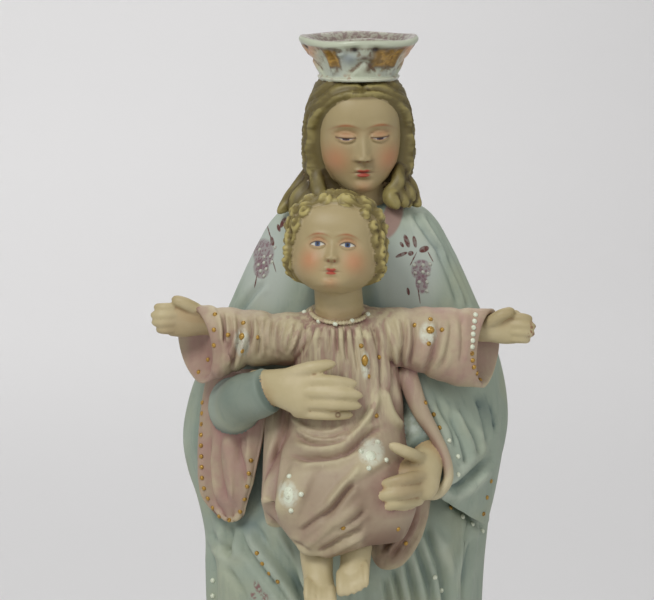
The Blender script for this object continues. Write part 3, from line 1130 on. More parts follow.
def fill_seams(mesh, rounds):
    """The creases where forms meet are filled as slip fills them. The union's new points have no tint yet:
    they take the largest of their neighbours', and they and the points beside them move to their
    neighbours' mean, a few times."""
    points, edges = read_points(mesh), read_edges(mesh)
    tint = np.empty(len(points), np.float32)
    mesh.attributes["tint"].data.foreach_get("value", tint)
    near = (tint < KNOWN / 2)[:, None].astype(float)
    for _ in range(2):
        grown = tint.copy()
        np.maximum.at(grown, edges[:, 0], tint[edges[:, 1]])
        np.maximum.at(grown, edges[:, 1], tint[edges[:, 0]])
        tint = np.where(tint < KNOWN / 2, grown, tint)
    mesh.attributes["tint"].data.foreach_set("value", np.maximum(tint - KNOWN, 0).astype(np.float32))
    for _ in range(2):
        near = np.maximum(near, np.minimum(1, 1.6 * neighbour_mean(near, edges)))
    for _ in range(rounds):
        points = points + 0.6 * near * (neighbour_mean(points, edges) - points)
    mesh.vertices.foreach_set("co", points.ravel())
    mesh.update()


def thinned(mesh, triangles):
    """The same skin with at most so many triangles: the flattest edges are collapsed."""
    count = sum(len(polygon.vertices) - 2 for polygon in mesh.polygons)
    if count <= triangles:
        return mesh
    obj = linked(mesh, "thinning")
    thin = obj.modifiers.new("thin", "DECIMATE")
    thin.ratio = triangles / count
    result = evaluated_mesh(obj)
    bpy.data.objects.remove(obj)
    bpy.data.meshes.remove(mesh)
    return result


def mark_hollows(mesh):
    """Gives each point two numbers, as the attribute hollows: how sharply the skin curves inwards there,
    one over millimetres, evened a little and evened widely. It is four times the depth under the
    neighbours' mean, over the squared edge length. Crests are below nought."""
    points, edges = read_points(mesh) / MM, read_edges(mesh)
    normals = np.empty(len(mesh.vertices) * 3, np.float32)
    mesh.vertex_normals.foreach_get("vector", normals)
    normals = normals.reshape(-1, 3)
    depth = ((neighbour_mean(points, edges) - points) * normals).sum(-1)
    length2 = ((points[edges[:, 0]] - points[edges[:, 1]]) ** 2).sum(-1)
    count = len(points)
    number = np.maximum(np.bincount(edges.ravel(), minlength=count), 1)
    spread = np.bincount(edges.ravel(), np.repeat(length2, 2), count) / number
    curve = np.clip(4 * depth / np.maximum(spread, 0.05), -1.5, 1.5)[:, None]
    evened = []
    for rounds in (4, 40):
        for _ in range(rounds):
            curve = 0.5 * curve + 0.5 * neighbour_mean(curve, edges)
        evened.append(curve[:, 0])
    hollows = np.stack([*evened, np.zeros(count)], -1)
    attribute = mesh.attributes.new("hollows", "FLOAT_VECTOR", "POINT")
    attribute.data.foreach_set("vector", hollows.ravel().astype(np.float32))


# Paint


# Sockets of a Mix node that mixes colours
MIX_SHARE, MIX_UNDER, MIX_OVER, MIXED = 0, 6, 7, 2
# The grain of the fired paste and the height of its bumps, in metres
PASTE_GRAIN = 0.0006
BUMP_HEIGHT = 0.0004


class Term:
    """A number or colour in a node tree. Sums, products and the functions below become nodes."""

    def __init__(self, tree, socket):
        self.tree, self.socket = tree, socket

    def math(self, operation, *others):
        """The result of a Math node on this and the other values."""
        node = self.tree.nodes.new("ShaderNodeMath")
        node.operation = operation
        for entry, value in zip(node.inputs, (self, *others)):
            give(self.tree, entry, value)
        return Term(self.tree, node.outputs[0])

    def __add__(self, other):
        return self.math("ADD", other)

    def __sub__(self, other):
        return self.math("SUBTRACT", other)

    def __mul__(self, other):
        return self.math("MULTIPLY", other)

    __radd__, __rmul__ = __add__, __mul__

    def __rsub__(self, other):
        return (self * -1) + other

    def bell(self, width):
        """e to the power of minus the squared value in widths."""
        scaled = self * (1 / width)
        return (scaled * scaled * -1).math("EXPONENT")

    def step(self, low, high):
        """0 before low and 1 after high, smooth between them."""
        node = self.tree.nodes.new("ShaderNodeMapRange")
        node.interpolation_type = "SMOOTHSTEP"
        give(self.tree, node.inputs["Value"], self)
        node.inputs["From Min"].default_value = low
        node.inputs["From Max"].default_value = high
        return Term(self.tree, node.outputs[0])


def give(tree, entry, value):
    """Links a term to an input, or sets the input to a plain value."""
    if isinstance(value, Term):
        tree.links.new(value.socket, entry)
    elif isinstance(value, tuple) and len(value) == 3 and entry.type == "RGBA":
        entry.default_value = (*value, 1)
    else:
        entry.default_value = value


class Paint:
    """A bisque paint: a colour built up in layers, then given to one Principled shader."""

    def __init__(self, name, ground, roughness):
        self.material = bpy.data.materials.new(name)
        self.material.use_nodes = True
        self.tree = self.material.node_tree
        self.shader = self.tree.nodes["Principled BSDF"]
        self.shader.inputs["Roughness"].default_value = roughness
        self.material.diffuse_color = (*ground, 1)
        self.colour = ground
        coords = self.tree.nodes.new("ShaderNodeTexCoord")
        self.place = Term(self.tree, coords.outputs["Object"])
        self.fine, self.broad, _ = self.axes(self.amount("hollows", "Vector"))

    def mixed(self, under, over, mask):
        """One colour with another over it, as much as the mask says."""
        node = self.tree.nodes.new("ShaderNodeMix")
        node.data_type = "RGBA"
        give(self.tree, node.inputs[MIX_SHARE], mask)
        give(self.tree, node.inputs[MIX_UNDER], under)
        give(self.tree, node.inputs[MIX_OVER], over)
        return Term(self.tree, node.outputs[MIXED])

    def layer(self, colour, mask):
        """Lays a colour over what is there, as much as the mask says."""
        self.colour = self.mixed(self.colour, colour, mask)

    def axes(self, place=None):
        """The three numbers of a vector, or of the object coordinates."""
        split = self.tree.nodes.new("ShaderNodeSeparateXYZ")
        give(self.tree, split.inputs[0], place or self.place)
        return [Term(self.tree, output) for output in split.outputs]

    def amount(self, name, output="Fac"):
        """What the mesh holds for each point under that name."""
        marked = self.tree.nodes.new("ShaderNodeAttribute")
        marked.attribute_name = name
        return Term(self.tree, marked.outputs[output])

    def spot(self, x, z, wide, high, tilt=0.0, soft=0.35):
        """An oval patch on the front, in object x and z: 1 inside, 0 outside, with a soft rim."""
        px, py, pz = self.axes()
        dx, dz = (px - x * MM) * (1 / MM), (pz - z * MM) * (1 / MM)
        c, s = float(np.cos(tilt)), float(np.sin(tilt))
        across, up = (dx * c + dz * s) * (1 / wide), (dz * c - dx * s) * (1 / high)
        oval = across * across + up * up
        return (1 - oval.step(1 - soft, 1 + soft)) * (1 - py.step(0, 0.001))

    def cells(self, size):
        """Distance to the nearest of scattered points about size metres apart, in sizes."""
        node = self.tree.nodes.new("ShaderNodeTexVoronoi")
        give(self.tree, node.inputs["Vector"], self.place)
        node.inputs["Scale"].default_value = 1 / size
        return Term(self.tree, node.outputs["Distance"])

    def noise(self, size, detail=3, place=None):
        """Cloudy noise from 0 to 1 whose features are about size metres across."""
        node = self.tree.nodes.new("ShaderNodeTexNoise")
        give(self.tree, node.inputs["Vector"], place or self.place)
        node.inputs["Scale"].default_value = 1 / size
        node.inputs["Detail"].default_value = detail
        node.inputs["Roughness"].default_value = 0.55
        return Term(self.tree, node.outputs["Fac"])

    def drawn_out(self, axis, factor):
        """Object coordinates with one axis scaled, so that noise read there runs in streaks along it."""
        node = self.tree.nodes.new("ShaderNodeMapping")
        give(self.tree, node.inputs["Vector"], self.place)
        scale = [1, 1, 1]
        scale[axis] = factor
        node.inputs["Scale"].default_value = scale
        return Term(self.tree, node.outputs[0])

    def local(self, matrix, size):
        """Object coordinates carried into another frame and divided by size."""
        back = matrix.inverted()
        node = self.tree.nodes.new("ShaderNodeMapping")
        give(self.tree, node.inputs["Vector"], self.place)
        node.inputs["Scale"].default_value = [1 / size] * 3
        node.inputs["Rotation"].default_value = back.to_euler("XYZ")
        node.inputs["Location"].default_value = back.translation / size
        return Term(self.tree, node.outputs[0])

    def finish(self, strength, grain=PASTE_GRAIN):
        """Gives the colour and a fine bumpy grain, of that size and strength, to the shader."""
        give(self.tree, self.shader.inputs["Base Color"], self.colour)
        node = self.tree.nodes.new("ShaderNodeBump")
        node.inputs["Strength"].default_value = strength
        node.inputs["Distance"].default_value = BUMP_HEIGHT
        give(self.tree, node.inputs["Height"], self.noise(grain, 2) + self.noise(grain * 6, 3) * 1.5)
        self.tree.links.new(node.outputs[0], self.shader.inputs["Normal"])
        return self.material


def srgb(red, green, blue):
    """A linear colour from 0 to 255 display values."""
    values = np.array([red, green, blue]) / 255
    linear = np.where(values <= 0.04045, values / 12.92, ((values + 0.055) / 1.055) ** 2.4)
    return tuple(float(v) for v in linear)


def cloth_paint(name, ground, light, dark, line, depth=1.0):
    """Airbrushed cloth: lighter on the crests, deeper in the hollows, with a fine line in the creases."""
    paint = Paint(name, ground, 0.6)
    cloud = paint.noise(0.022, 4)
    paint.layer(light, (paint.broad * -6 + (cloud - 0.5) * 1.5).step(0.0, 0.9) * 0.75)
    paint.layer(light, (paint.fine * -1).step(0.1, 0.6) * 0.4)
    paint.layer(dark, (paint.broad * 7 + (cloud - 0.5) * 0.9).step(0.1, 1.1) * 0.75 * depth)
    paint.layer(dark, paint.fine.step(0.06, 0.4) * 0.5 * depth)
    paint.layer(line, paint.fine.step(0.3, 0.9) * 0.65 * depth)
    paint.layer(dark, paint.noise(0.004, 3).step(0.55, 0.8) * 0.18)
    return paint


# Painted ovals: where the viewer sees them, half width, half height and tilt
VINE_LEAVES = [
    [-29.5, 330, 1.0, 2.6, -0.5], [-31.5, 327.5, 0.8, 1.6, 0.3], [-34.5, 321.5, 0.9, 2.0, 0.2],
    [27.5, 322.5, 1.1, 3.0, 0.35], [31.2, 322, 0.9, 2.6, 0.2], [35.5, 318.5, 2.3, 1.4, 0.3],
    [25.0, 316.5, 2.8, 0.8, 0.35], [29.3, 317, 1.3, 1.1, 0.0], [25.2, 321, 0.7, 1.4, 0.6],
    [28, 300, 0.7, 1.7, 0.2], [30.5, 314.5, 0.3, 3.4, -0.5], [38.5, 315, 0.3, 2.6, 0.5],
    [33, 298, 0.3, 3.6, 0.15], [-36, 325, 0.3, 3.8, 0.4], [-42, 303.5, 0.3, 3.2, -0.2],
    [-33.5, 311, 0.3, 3.0, 0.3],
]
GRAPES = [
    [-38.5, 315.5, 4.6, 6.4, -0.25], [-39.5, 309, 3.6, 4.2, -0.1], [34, 309.5, 4.4, 4.4, 0.0],
    [34.3, 303.5, 2.8, 4.6, 0.1],
]


def mantle_paint(colours):
    """The blue mantle with painted vine leaves and grapes on a pale ground at both shoulders, and a small
    red flower at the knee."""
    paint = cloth_paint(
        "mantle_blue", tuple(colours.mantle), srgb(184, 192, 174), srgb(98, 116, 110), srgb(62, 78, 80)
    )
    warm = paint.noise(0.03, 2).step(0.45, 0.7)
    paint.layer(srgb(162, 166, 138), warm * 0.5)
    cool = paint.noise(0.026, 2, paint.drawn_out(2, 0.5)).step(0.5, 0.8)
    paint.layer(srgb(136, 150, 156), cool * 0.25)
    streaks = paint.noise(0.003, 3, paint.drawn_out(2, 0.12))
    paint.layer(srgb(112, 128, 122), streaks.step(0.54, 0.72) * 0.2)
    paint.layer(srgb(92, 106, 98), paint.spot(*on_cloth(-46, 253, -55), 15, 14, 0.3, 0.7) * 0.6)
    bloom = paint.spot(*on_cloth(32, 240, -62), 9, 7, 0, 0.9) * paint.noise(0.004, 2).step(0.35, 0.7)
    paint.layer(srgb(188, 198, 192), bloom * 0.55)
    pale = srgb(186, 194, 186)
    for x, z, wide, high in ((-38, 312, 12, 20), (28, 308, 14, 18)):
        paint.layer(pale, paint.spot(*on_cloth(x, z, -28), wide, high, 0.0, 0.9) * 0.7)
    paint.layer(srgb(148, 114, 104), paint.spot(*on_cloth(20.5, 333, -23), 4.4, 9, -0.4, 0.3) * 0.85)
    blot = paint.cells(0.0015)
    for x, z, wide, high, tilt in GRAPES:
        mask = paint.spot(*on_cloth(x, z, -28), wide, high, tilt, 0.25)
        paint.layer(srgb(122, 88, 98), mask * (1 - blot.step(0.35, 0.55) * 0.4) * 0.85)
    for x, z, wide, high, tilt in VINE_LEAVES:
        mask = paint.spot(*on_cloth(x, z, -28), wide, high, tilt, 0.3)
        paint.layer(srgb(92, 46, 40), mask * (0.7 + paint.noise(0.002, 2).step(0.4, 0.6) * 0.3))
    for x, z, wide, high in ((-41, 163, 1.5, 3), (-38, 159, 1.8, 2), (-43, 159, 1.2, 1.6)):
        patch = paint.spot(*on_cloth(x, z, -45), wide, high, 0.4, 0.8)
        paint.layer(srgb(128, 72, 76), patch * paint.noise(0.0015, 2).step(0.35, 0.6) * 0.8)
    return paint.finish(0.15)


# Whitish patches: where the viewer sees them, the cloth's depth there, half width and half height
ENAMEL_PATCHES = [
    [-27, 206.5, -85, 4.2, 5.4], [11.5, 225, -84, 5.2, 5.0], [-48, 277, -58, 3.2, 6.0],
    [37, 281, -58, 3.6, 4.6], [8.5, 266, -67, 1.9, 5.4],
]
# Brown shade on the lap and one sleeve: object x and z, half width, half height, tilt and strength
GOWN_DUSK = [
    [8, 191, 27, 11, 0.35, 0.85], [-10, 205, 26, 26, 0, 0.25], [8, 217, 8, 11, 0, 0.45],
    [26, 232, 8, 8, 0, 0.5], [-44, 280, 20, 14, 0, 0.3],
]


def gown_paint(colours):
    """The pink gown: cream on the crests, mauve in the folds, brown dusk under the lap, whitish patches
    under the flowers."""
    paint = cloth_paint(
        "gown_pink", tuple(colours.gown), srgb(194, 184, 148), srgb(136, 98, 90), srgb(96, 58, 58), 0.7
    )
    cloud = paint.noise(0.016, 3)
    paint.layer(srgb(166, 132, 126), cloud.step(0.52, 0.75) * 0.35)
    streaks = paint.noise(0.0032, 3, paint.drawn_out(2, 0.12))
    x, _, z = paint.axes()
    gathered = z.step(0.235, 0.262) * (1 - (x + 0.004).math("ABSOLUTE").step(0.016, 0.036) * 0.75)
    paint.layer(srgb(196, 186, 150), (1 - streaks.step(0.4, 0.52)) * gathered * 0.5)
    paint.layer(srgb(150, 112, 104), streaks.step(0.52, 0.64) * gathered * 0.5)
    for x, z, wide, high in ((-56, 222, 15, 32), (50, 278, 20, 20), (-60, 272, 16, 20)):
        rosy = paint.spot(*on_cloth(x, z, -50), wide, high, 0, 0.8)
        paint.layer(srgb(160, 118, 114), rosy * cloud.step(0.3, 0.6) * 0.5)
    for x, z, wide, high, tilt, much in GOWN_DUSK:
        brown = paint.spot(x, z, wide, high, tilt, 0.9)
        paint.layer(srgb(112, 84, 66), brown * cloud.step(0.2, 0.6) * much)
    for x, z, depth, wide, high in ENAMEL_PATCHES:
        mask = paint.spot(*on_cloth(x, z, depth), wide, high, 0.0, 0.6)
        paint.layer(srgb(208, 212, 194), mask * paint.noise(0.003, 2).step(0.25, 0.55) * 0.8)
    return paint.finish(0.15)


def head_paint(name, head, face, flesh, hair, blush, iris, gaze):
    """One paint for a figure's skin and hair, parted by the tint of the mesh. The face is painted in the
    head's own axes: blushed cheeks, brows, lids, irises, turned by gaze, and lips. hair is the ground, the
    colour on the crests of the locks and the colour between them."""
    paint = Paint(name, flesh, 0.5)
    cloud = paint.noise(0.012, 3)
    paint.layer(srgb(214, 200, 166), (cloud - 0.5).step(-0.1, 0.3) * 0.4)
    paint.layer(srgb(178, 148, 104), (paint.broad * 5).step(0.1, 1.2) * 0.5)
    px, _, pz = paint.axes()
    chip_x, chip_z = px * (1 / MM) - CHIP[0], pz * (1 / MM) - CHIP[2]
    chip = (chip_x * chip_x + chip_z * chip_z).math("SQRT")
    paint.layer(srgb(104, 62, 30), (chip - 0.9).bell(0.45) * 0.75)
    worn = paint.spot(*WORN_TIPS, 2.6, 6, 0, 0.6) * paint.noise(0.0016, 2).step(0.48, 0.6)
    paint.layer(srgb(130, 70, 48), worn * 0.75)
    for x, z, wide, high in ((26, 227, 8, 9), (-74, 285, 13, 10)):
        paint.layer(srgb(140, 112, 76), paint.spot(x, z, wide, high, 0.5, 0.9) * 0.45)
    scale = head["height"] * MM
    matrix = Matrix.Scale(MM, 4) @ head_matrix(head) @ Matrix.Scale(1 / MM, 4)
    x, y, h = paint.axes(paint.local(matrix, scale))
    side = x.math("ABSOLUTE")
    on_face = (y * -1).step(0.1, 0.2) * h.step(-0.02, 0.02) * (1 - h.step(0.95, 1.0))
    foot, mouth, eyes, lips = face["nose_foot"], face["mouth"], face["eyes"], face["lips"]
    paint.layer(srgb(158, 140, 98), h.step(-0.3, 0.0) * 0.7)
    paint.layer(srgb(128, 88, 56), paint.fine.step(0.2, 0.8) * (0.5 - on_face * 0.3))

    def on_skin(colour, mask):
        paint.layer(colour, mask * on_face)

    cheek = (side - 0.23).bell(0.11) * (h - foot - 0.005).bell(0.12)
    on_skin(blush, cheek * 0.54)
    on_skin(blush, (side.bell(0.08) * (h - 0.07).bell(0.06)) * 0.3)
    across = (side - face["eye_out"]) * (1 / EYE_HALF_WIDTH)
    over = h - eyes
    arch = 1 - across * across
    upper, lower = arch * face["lid_up"], arch * -face["lid_low"]
    on_skin(blush, (over - upper - 0.03).bell(0.035) * across.bell(1.1) * 0.4)
    within = (upper - over).step(-0.002, 0.004) * (over - lower).step(-0.002, 0.004) * arch.step(0, 0.1)
    on_skin(srgb(200, 198, 182), within)
    gaze_x = side - face["eye_out"] + gaze[0]
    round_x, round_h = gaze_x * (1 / 0.029), (over - gaze[1]) * (1 / 0.033)
    disc = round_x * round_x + round_h * round_h
    on_skin(iris, (1 - disc.step(0.8, 1.2)) * within)
    on_skin(srgb(16, 16, 26), (1 - disc.step(0.15, 0.35)) * within)
    lash = (over - upper).bell(0.008) * arch.step(-0.25, 0.05)
    on_skin(srgb(66, 40, 30), lash * 0.85)
    on_skin(srgb(150, 100, 70), (over - lower).bell(0.005) * arch.step(-0.1, 0.1) * 0.5)
    brow_h = over - 0.108 + (side - 0.14) * (side - 0.14) * 2.6
    brow = brow_h.bell(0.012) * (side - 0.15).bell(0.088)
    on_skin(srgb(150, 88, 46), brow * 0.85)
    bow = side.bell(0.02) * 0.008
    lip_shape = side.bell(lips * 0.85)
    upper_lip = (h - mouth - 0.018 + bow).bell(0.017) * lip_shape
    lower_lip = (h - mouth + 0.022).bell(0.018) * lip_shape
    red = (upper_lip + lower_lip).step(0.35, 0.7)
    on_skin(srgb(172, 58, 44), red * 0.9)
    on_skin(srgb(104, 28, 26), (h - mouth).bell(0.006) * side.bell(lips * 0.95) * 0.9)
    nostril = (side - 0.032).bell(0.013) * (h - foot + 0.002).bell(0.011)
    on_skin(srgb(140, 66, 48), nostril * 0.8)
    ground, light, dark = hair
    cloud = paint.noise(0.007, 4)
    locks = paint.mixed(ground, light, (paint.fine * -1 + (cloud - 0.5) * 0.5).step(0.02, 0.5) * 0.8)
    locks = paint.mixed(locks, dark, (paint.fine + (cloud - 0.5) * 0.4).step(0.05, 0.6) * 0.9)
    locks = paint.mixed(locks, dark, (paint.broad * 4).step(0.25, 1.3) * 0.6)
    tint = paint.amount("tint")
    paint.layer(dark, (tint - 0.35).bell(0.25) * 0.35)
    paint.layer(locks, tint.step(0.42, 0.62))
    return paint


def crown_paint(gold):
    """The crown's glaze: gold in two recesses of each side, brown round them, rosy at the flanks, mottled
    inside."""
    paint = Paint("crown_glaze", srgb(184, 190, 168), 0.3)
    cloud = paint.noise(0.004, 3)
    x, y, z = paint.axes()
    foot_x, foot_y, foot_z = (value * MM for value in CROWN_FOOT)
    across, ahead = x - foot_x, (y - foot_y).math("ABSOLUTE")
    angle = across.math("ARCTAN2", ahead)
    turn = (((angle - CROWN_TURN) * (4 / TAU) + 0.5).math("FRACT") * 2 - 1).math("ABSOLUTE")
    height = (z - foot_z + (y - foot_y) * -CROWN_TILT) * (1 / (CROWN_HEIGHT * MM))
    wall = height.step(0.2, 0.3) * (1 - height.step(0.83, 0.87))
    paint.layer(srgb(160, 166, 162), (paint.broad * 5).step(0.1, 1.0) * 0.6)
    paint.layer(srgb(138, 148, 154), (angle + 0.2).bell(0.24) * (height - 0.58).bell(0.2) * wall * 0.8)
    grime = (cloud + paint.fine * 0.4).step(0.48, 0.7)
    paint.layer(srgb(118, 96, 68), grime * wall * 0.6)
    paint.layer(srgb(84, 56, 34), (height - 0.81).bell(0.05) * cloud.step(0.35, 0.6) * 0.7)
    dusk = (angle + 0.62).bell(0.1) + (angle - 0.2).bell(0.08) + (angle - 0.8).bell(0.2)
    paint.layer(srgb(84, 60, 36), dusk * (height - 0.3).bell(0.14) * cloud.step(0.3, 0.6) * 0.8)
    paint.layer(srgb(142, 128, 84), (angle - 0.7).bell(0.4) * wall * cloud.step(0.4, 0.6) * 0.6)
    paint.layer(srgb(204, 146, 100), (across.math("ABSOLUTE") - 0.0225).bell(0.0035) * wall * 0.8)
    for begin, end, low, high in ((-0.7, -0.42, 0.34, 0.8), (0.24, 0.96, 0.34, 0.82)):
        uneven = (cloud - 0.5) * 0.12
        beside = (angle + uneven - (begin + end) / 2).math("ABSOLUTE") * (2 / (end - begin))
        upright = (height + uneven - (low + high) / 2).math("ABSOLUTE") * (2 / (high - low))
        edge = beside.math("MAXIMUM", upright)
        paint.layer(srgb(74, 48, 26), (1 - edge.step(0.85, 1.3)) * 0.8)
        paint.layer(gold, 1 - edge.step(0.5, 1.05))
        patchy = paint.noise(0.003, 2).step(0.35, 0.6)
        paint.layer(srgb(112, 84, 32), (1 - edge.step(0.6, 1)) * patchy * 0.8)
    paint.layer(srgb(90, 56, 36), (paint.fine + (cloud - 0.5) * 0.3).step(0.12, 0.45) * wall * 0.6)
    paint.layer(srgb(80, 45, 30), turn.bell(0.13) * (height - 0.6).bell(0.06) * 0.8)
    paint.layer(srgb(30, 20, 16), (turn - 0.24).bell(0.08) * (height - 0.8).bell(0.06))
    paint.layer(srgb(206, 208, 188), (height - 0.06).bell(0.04) * 0.6)
    jewels = paint.cells(0.0035)
    paint.layer(srgb(150, 110, 84), (1 - jewels.step(0.2, 0.4)) * (height - 0.12).bell(0.07) * 0.6)
    ahead = ahead * 0.96
    radius = (across * across + ahead * ahead).math("SQRT") * (1 / (CROWN_FOOT_RADIUS * MM))
    inside = (1 - (radius - height * 0.78 - 0.66).step(-0.04, 0.04)) * height.step(0.3, 0.36)
    paint.layer(srgb(122, 104, 98), inside * (0.5 + paint.noise(0.002, 3).step(0.4, 0.6) * 0.5))
    return paint.finish(0.08)


def drop_paint(name, colour, dirt, roughness, metallic):
    """Raised enamel: one colour with dirt in patches."""
    paint = Paint(name, colour, roughness)
    paint.shader.inputs["Metallic"].default_value = metallic
    paint.layer(dirt, paint.noise(0.0012, 3).step(0.52, 0.68) * 0.7)
    return paint.finish(0.1, 0.0005)


# Raised drops


def rows_of_drops(rows):
    """Evenly spaced places along each row's line of (x, z)."""
    places = []
    for count, *line in rows:
        points = np.array(line, float)
        length = np.concatenate([[0], np.cumsum(np.hypot(*np.diff(points, axis=0).T))])
        at = np.linspace(0, length[-1], count)
        places += list(np.stack([np.interp(at, length, points[:, n]) for n in (0, 1)], -1))
    return places


def drops_form(skin, places, wide, high, rise, soft=False):
    """Low domes set on the casting where the viewer's rays meet it, sunk a little in the skin: ovals whose
    rise is a sine over the height, or, if soft, a cosine bell over the radius."""
    around, rows = (24, 9) if soft else (10, 5)
    angle = TAU * np.arange(around)[None, :] / around
    tilt = np.linspace(-0.4, 0.96, rows)[:, None] * np.pi / 2
    radius, lift = np.cos(tilt), rise * np.sin(tilt)
    if soft:
        sunk, rim_sunk = 0.3, 1.4
        radius = np.linspace(1, 0.04, rows)[:, None]
        lift = rise * (0.5 + 0.5 * np.cos(np.pi * radius)) - sunk
        lift[0] = -rim_sunk
    forms = []
    for x, z in places:
        point, normal, _, _ = skin.ray_cast(Vector(EYE * MM), Vector(view_ray(x, z)).normalized())
        if point is None:
            raise RuntimeError(f"no surface under the drop at {x:.1f}, {z:.1f}")
        out = unit(np.array(normal))
        side = unit(np.cross((0, 0.2, 1), out))
        up = np.cross(out, side)
        across = wide * radius * np.cos(angle)
        along = high * radius * np.sin(angle)
        ring = across[..., None] * side + along[..., None] * up + (lift + 0 * angle)[..., None] * out
        forms.append(closed_form(np.array(point) / MM + ring, 0))
    return forms


# Raised enamel, as rows along lines that the viewer sees, in millimetres: how many and where
GOLD_ROWS = [
    [5, (-60.5, 289.5), (-61, 282), (-61, 274.5), (-64, 268), (-68, 263)],
    [4, (-54.5, 280), (-48, 286), (-40.8, 279), (-48, 272.5)],
    [4, (31, 284.5), (36.5, 288.3), (44.5, 283.5), (37.5, 276)],
    [5, (57.3, 271.5), (57.8, 266), (61, 259.5)], [3, (6.5, 275), (14.8, 270), (10, 261)],
    [1, (13.5, 243)], [1, (-1.7, 191.5)], [1, (23.5, 191)], [1, (27, 184.5)],
    [3, (36, 249), (39.5, 244), (42.3, 237.5)], [1, (47.5, 201)],
    [13, (-66.3, 249), (-67, 232), (-66.4, 212), (-63, 203), (-59, 197), (-54, 195.2)],
    [5, (-49, 199), (-46.2, 206.5), (-45.4, 214), (-44, 222.5)],
    [4, (-41.3, 180), (-39, 175.5), (-36, 171), (-31.8, 167)],
    [3, (66, 213), (64, 205), (62.6, 198)],
]
WHITE_ROWS = [
    [3, (46.8, 231.5), (51, 224), (51, 216)], [3, (53, 196.8), (58, 193), (62, 190.2)],
    [2, (-61.5, 167.5), (-61.5, 160.5)], [2, (40.3, 169), (43.2, 163)],
    [5, (-19.5, 290.5), (-11, 285), (-3.5, 285), (4, 287), (9.5, 289.5)], [1, (-26.5, 215.3)],
    [1, (-21, 207)], [1, (-25.6, 199.5)], [1, (6.4, 226.8)], [1, (18, 222.7)], [1, (10, 219)],
    [1, (14, 231)], [6, (58.8, 289.2), (57.9, 283), (57.4, 274.5)],
]
GRAPE_DROPS = [
    [-40, 319], [-38, 315.7], [-35, 316], [-33, 320], [-34.3, 313.4], [-38, 313], [-40.6, 312],
    [-39.5, 309.3], [-37, 310.2], [-38, 307], [30.7, 312], [34.8, 312], [38, 312.4], [31.2, 308.4],
    [34.8, 308.8], [37.2, 308], [33, 304.2], [36.6, 304.2], [36.6, 300],
]
# Blossoms and jewels: where the viewer sees them, then half width, and half height of the jewels
BLOSSOMS = [[-27, 206.5, 3.4], [11.3, 224.8, 3.0]]
GOLD_JEWELS = [[-48.2, 279.3, 1.9, 1.7], [38.2, 282.3, 1.9, 1.8], [8.2, 268.3, 1.5, 2.7]]


def finish_piece(obj):
    """Says which body a piece rides and which paint slot it has."""
    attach(obj, BODY)


# Settings


def length_property(name, description, millimetres):
    """A length setting, given in millimetres."""
    return FloatProperty(name=name, description=description, default=millimetres * MM, unit="LENGTH")


def colour_property(name, description, *display):
    """A colour setting, given as display values."""
    return FloatVectorProperty(
        name=name, description=description, default=srgb(*display), subtype="COLOR", min=0, max=1
    )


class BisqueFigureSizes(bpy.types.PropertyGroup):
    """How many folds and motifs, and how large the small forms are"""

    mantle_folds: IntProperty(name="Mantle Folds", description="Hanging folds round the mantle", default=20)
    gown_folds: IntProperty(name="Gown Folds", description="Folds round the child's gown", default=12)
    hair_bands: FloatProperty(name="Hair Bands", description="Bands between parting and crown", default=4.2)
    curl: length_property("Curl Radius", "Half the width of the child's curls", 4.1)
    crown_motifs: IntProperty(name="Crown Motifs", description="Leafy motifs round the crown", default=4)
    finger: length_property("Finger Radius", "Half the thickness of the mother's fingers", 2.75)
    small_finger: length_property("Small Finger Radius", "Half the thickness of the child's fingers", 2.1)
    drop: length_property("Enamel Drop Radius", "Half the width of a raised drop of enamel", 1.1)
    melt: length_property("Hand Grain", "Voxel size that melts fingers and palm into one skin", 0.75)


class BisqueFigureColours(bpy.types.PropertyGroup):
    """Paints of the figure and its surroundings"""

    mantle: colour_property("Mantle", "Ground colour of the mantle", 150, 162, 146)
    gown: colour_property("Gown", "Ground colour of the gown and linings", 167, 150, 126)
    flesh: colour_property("Flesh", "Ground colour of both figures' skin", 188, 174, 134)
    hair: colour_property("Hair", "Ground colour of both heads of hair", 118, 104, 56)
    hair_light: colour_property("Hair Lights", "Colour on the crests of the locks", 182, 168, 104)
    hair_dark: colour_property("Hair Depths", "Colour between the locks", 78, 62, 24)
    blush: colour_property("Blush", "Colour of the cheeks", 196, 116, 78)
    gold: colour_property("Gold", "Gold paint", 176, 138, 62)
    white: colour_property("White Enamel", "Raised white drops and blossoms", 216, 222, 200)
    floor: colour_property("Floor", "Floor and backdrop", 243, 242, 242)


class BisqueFigureLight(bpy.types.PropertyGroup):
    """Lights of the stage"""

    key: FloatProperty(name="Key Light", description="Power of the large light", default=11.5, unit="POWER")
    fill: FloatProperty(name="Fill Light", description="Power of the fills", default=3.4, unit="POWER")
    backdrop: FloatProperty(
        name="Backdrop", description="Power of the backdrop's light", default=22, unit="POWER"
    )
    surround: FloatProperty(name="Surround", description="Strength of light from all round", default=0.42)


# Operators


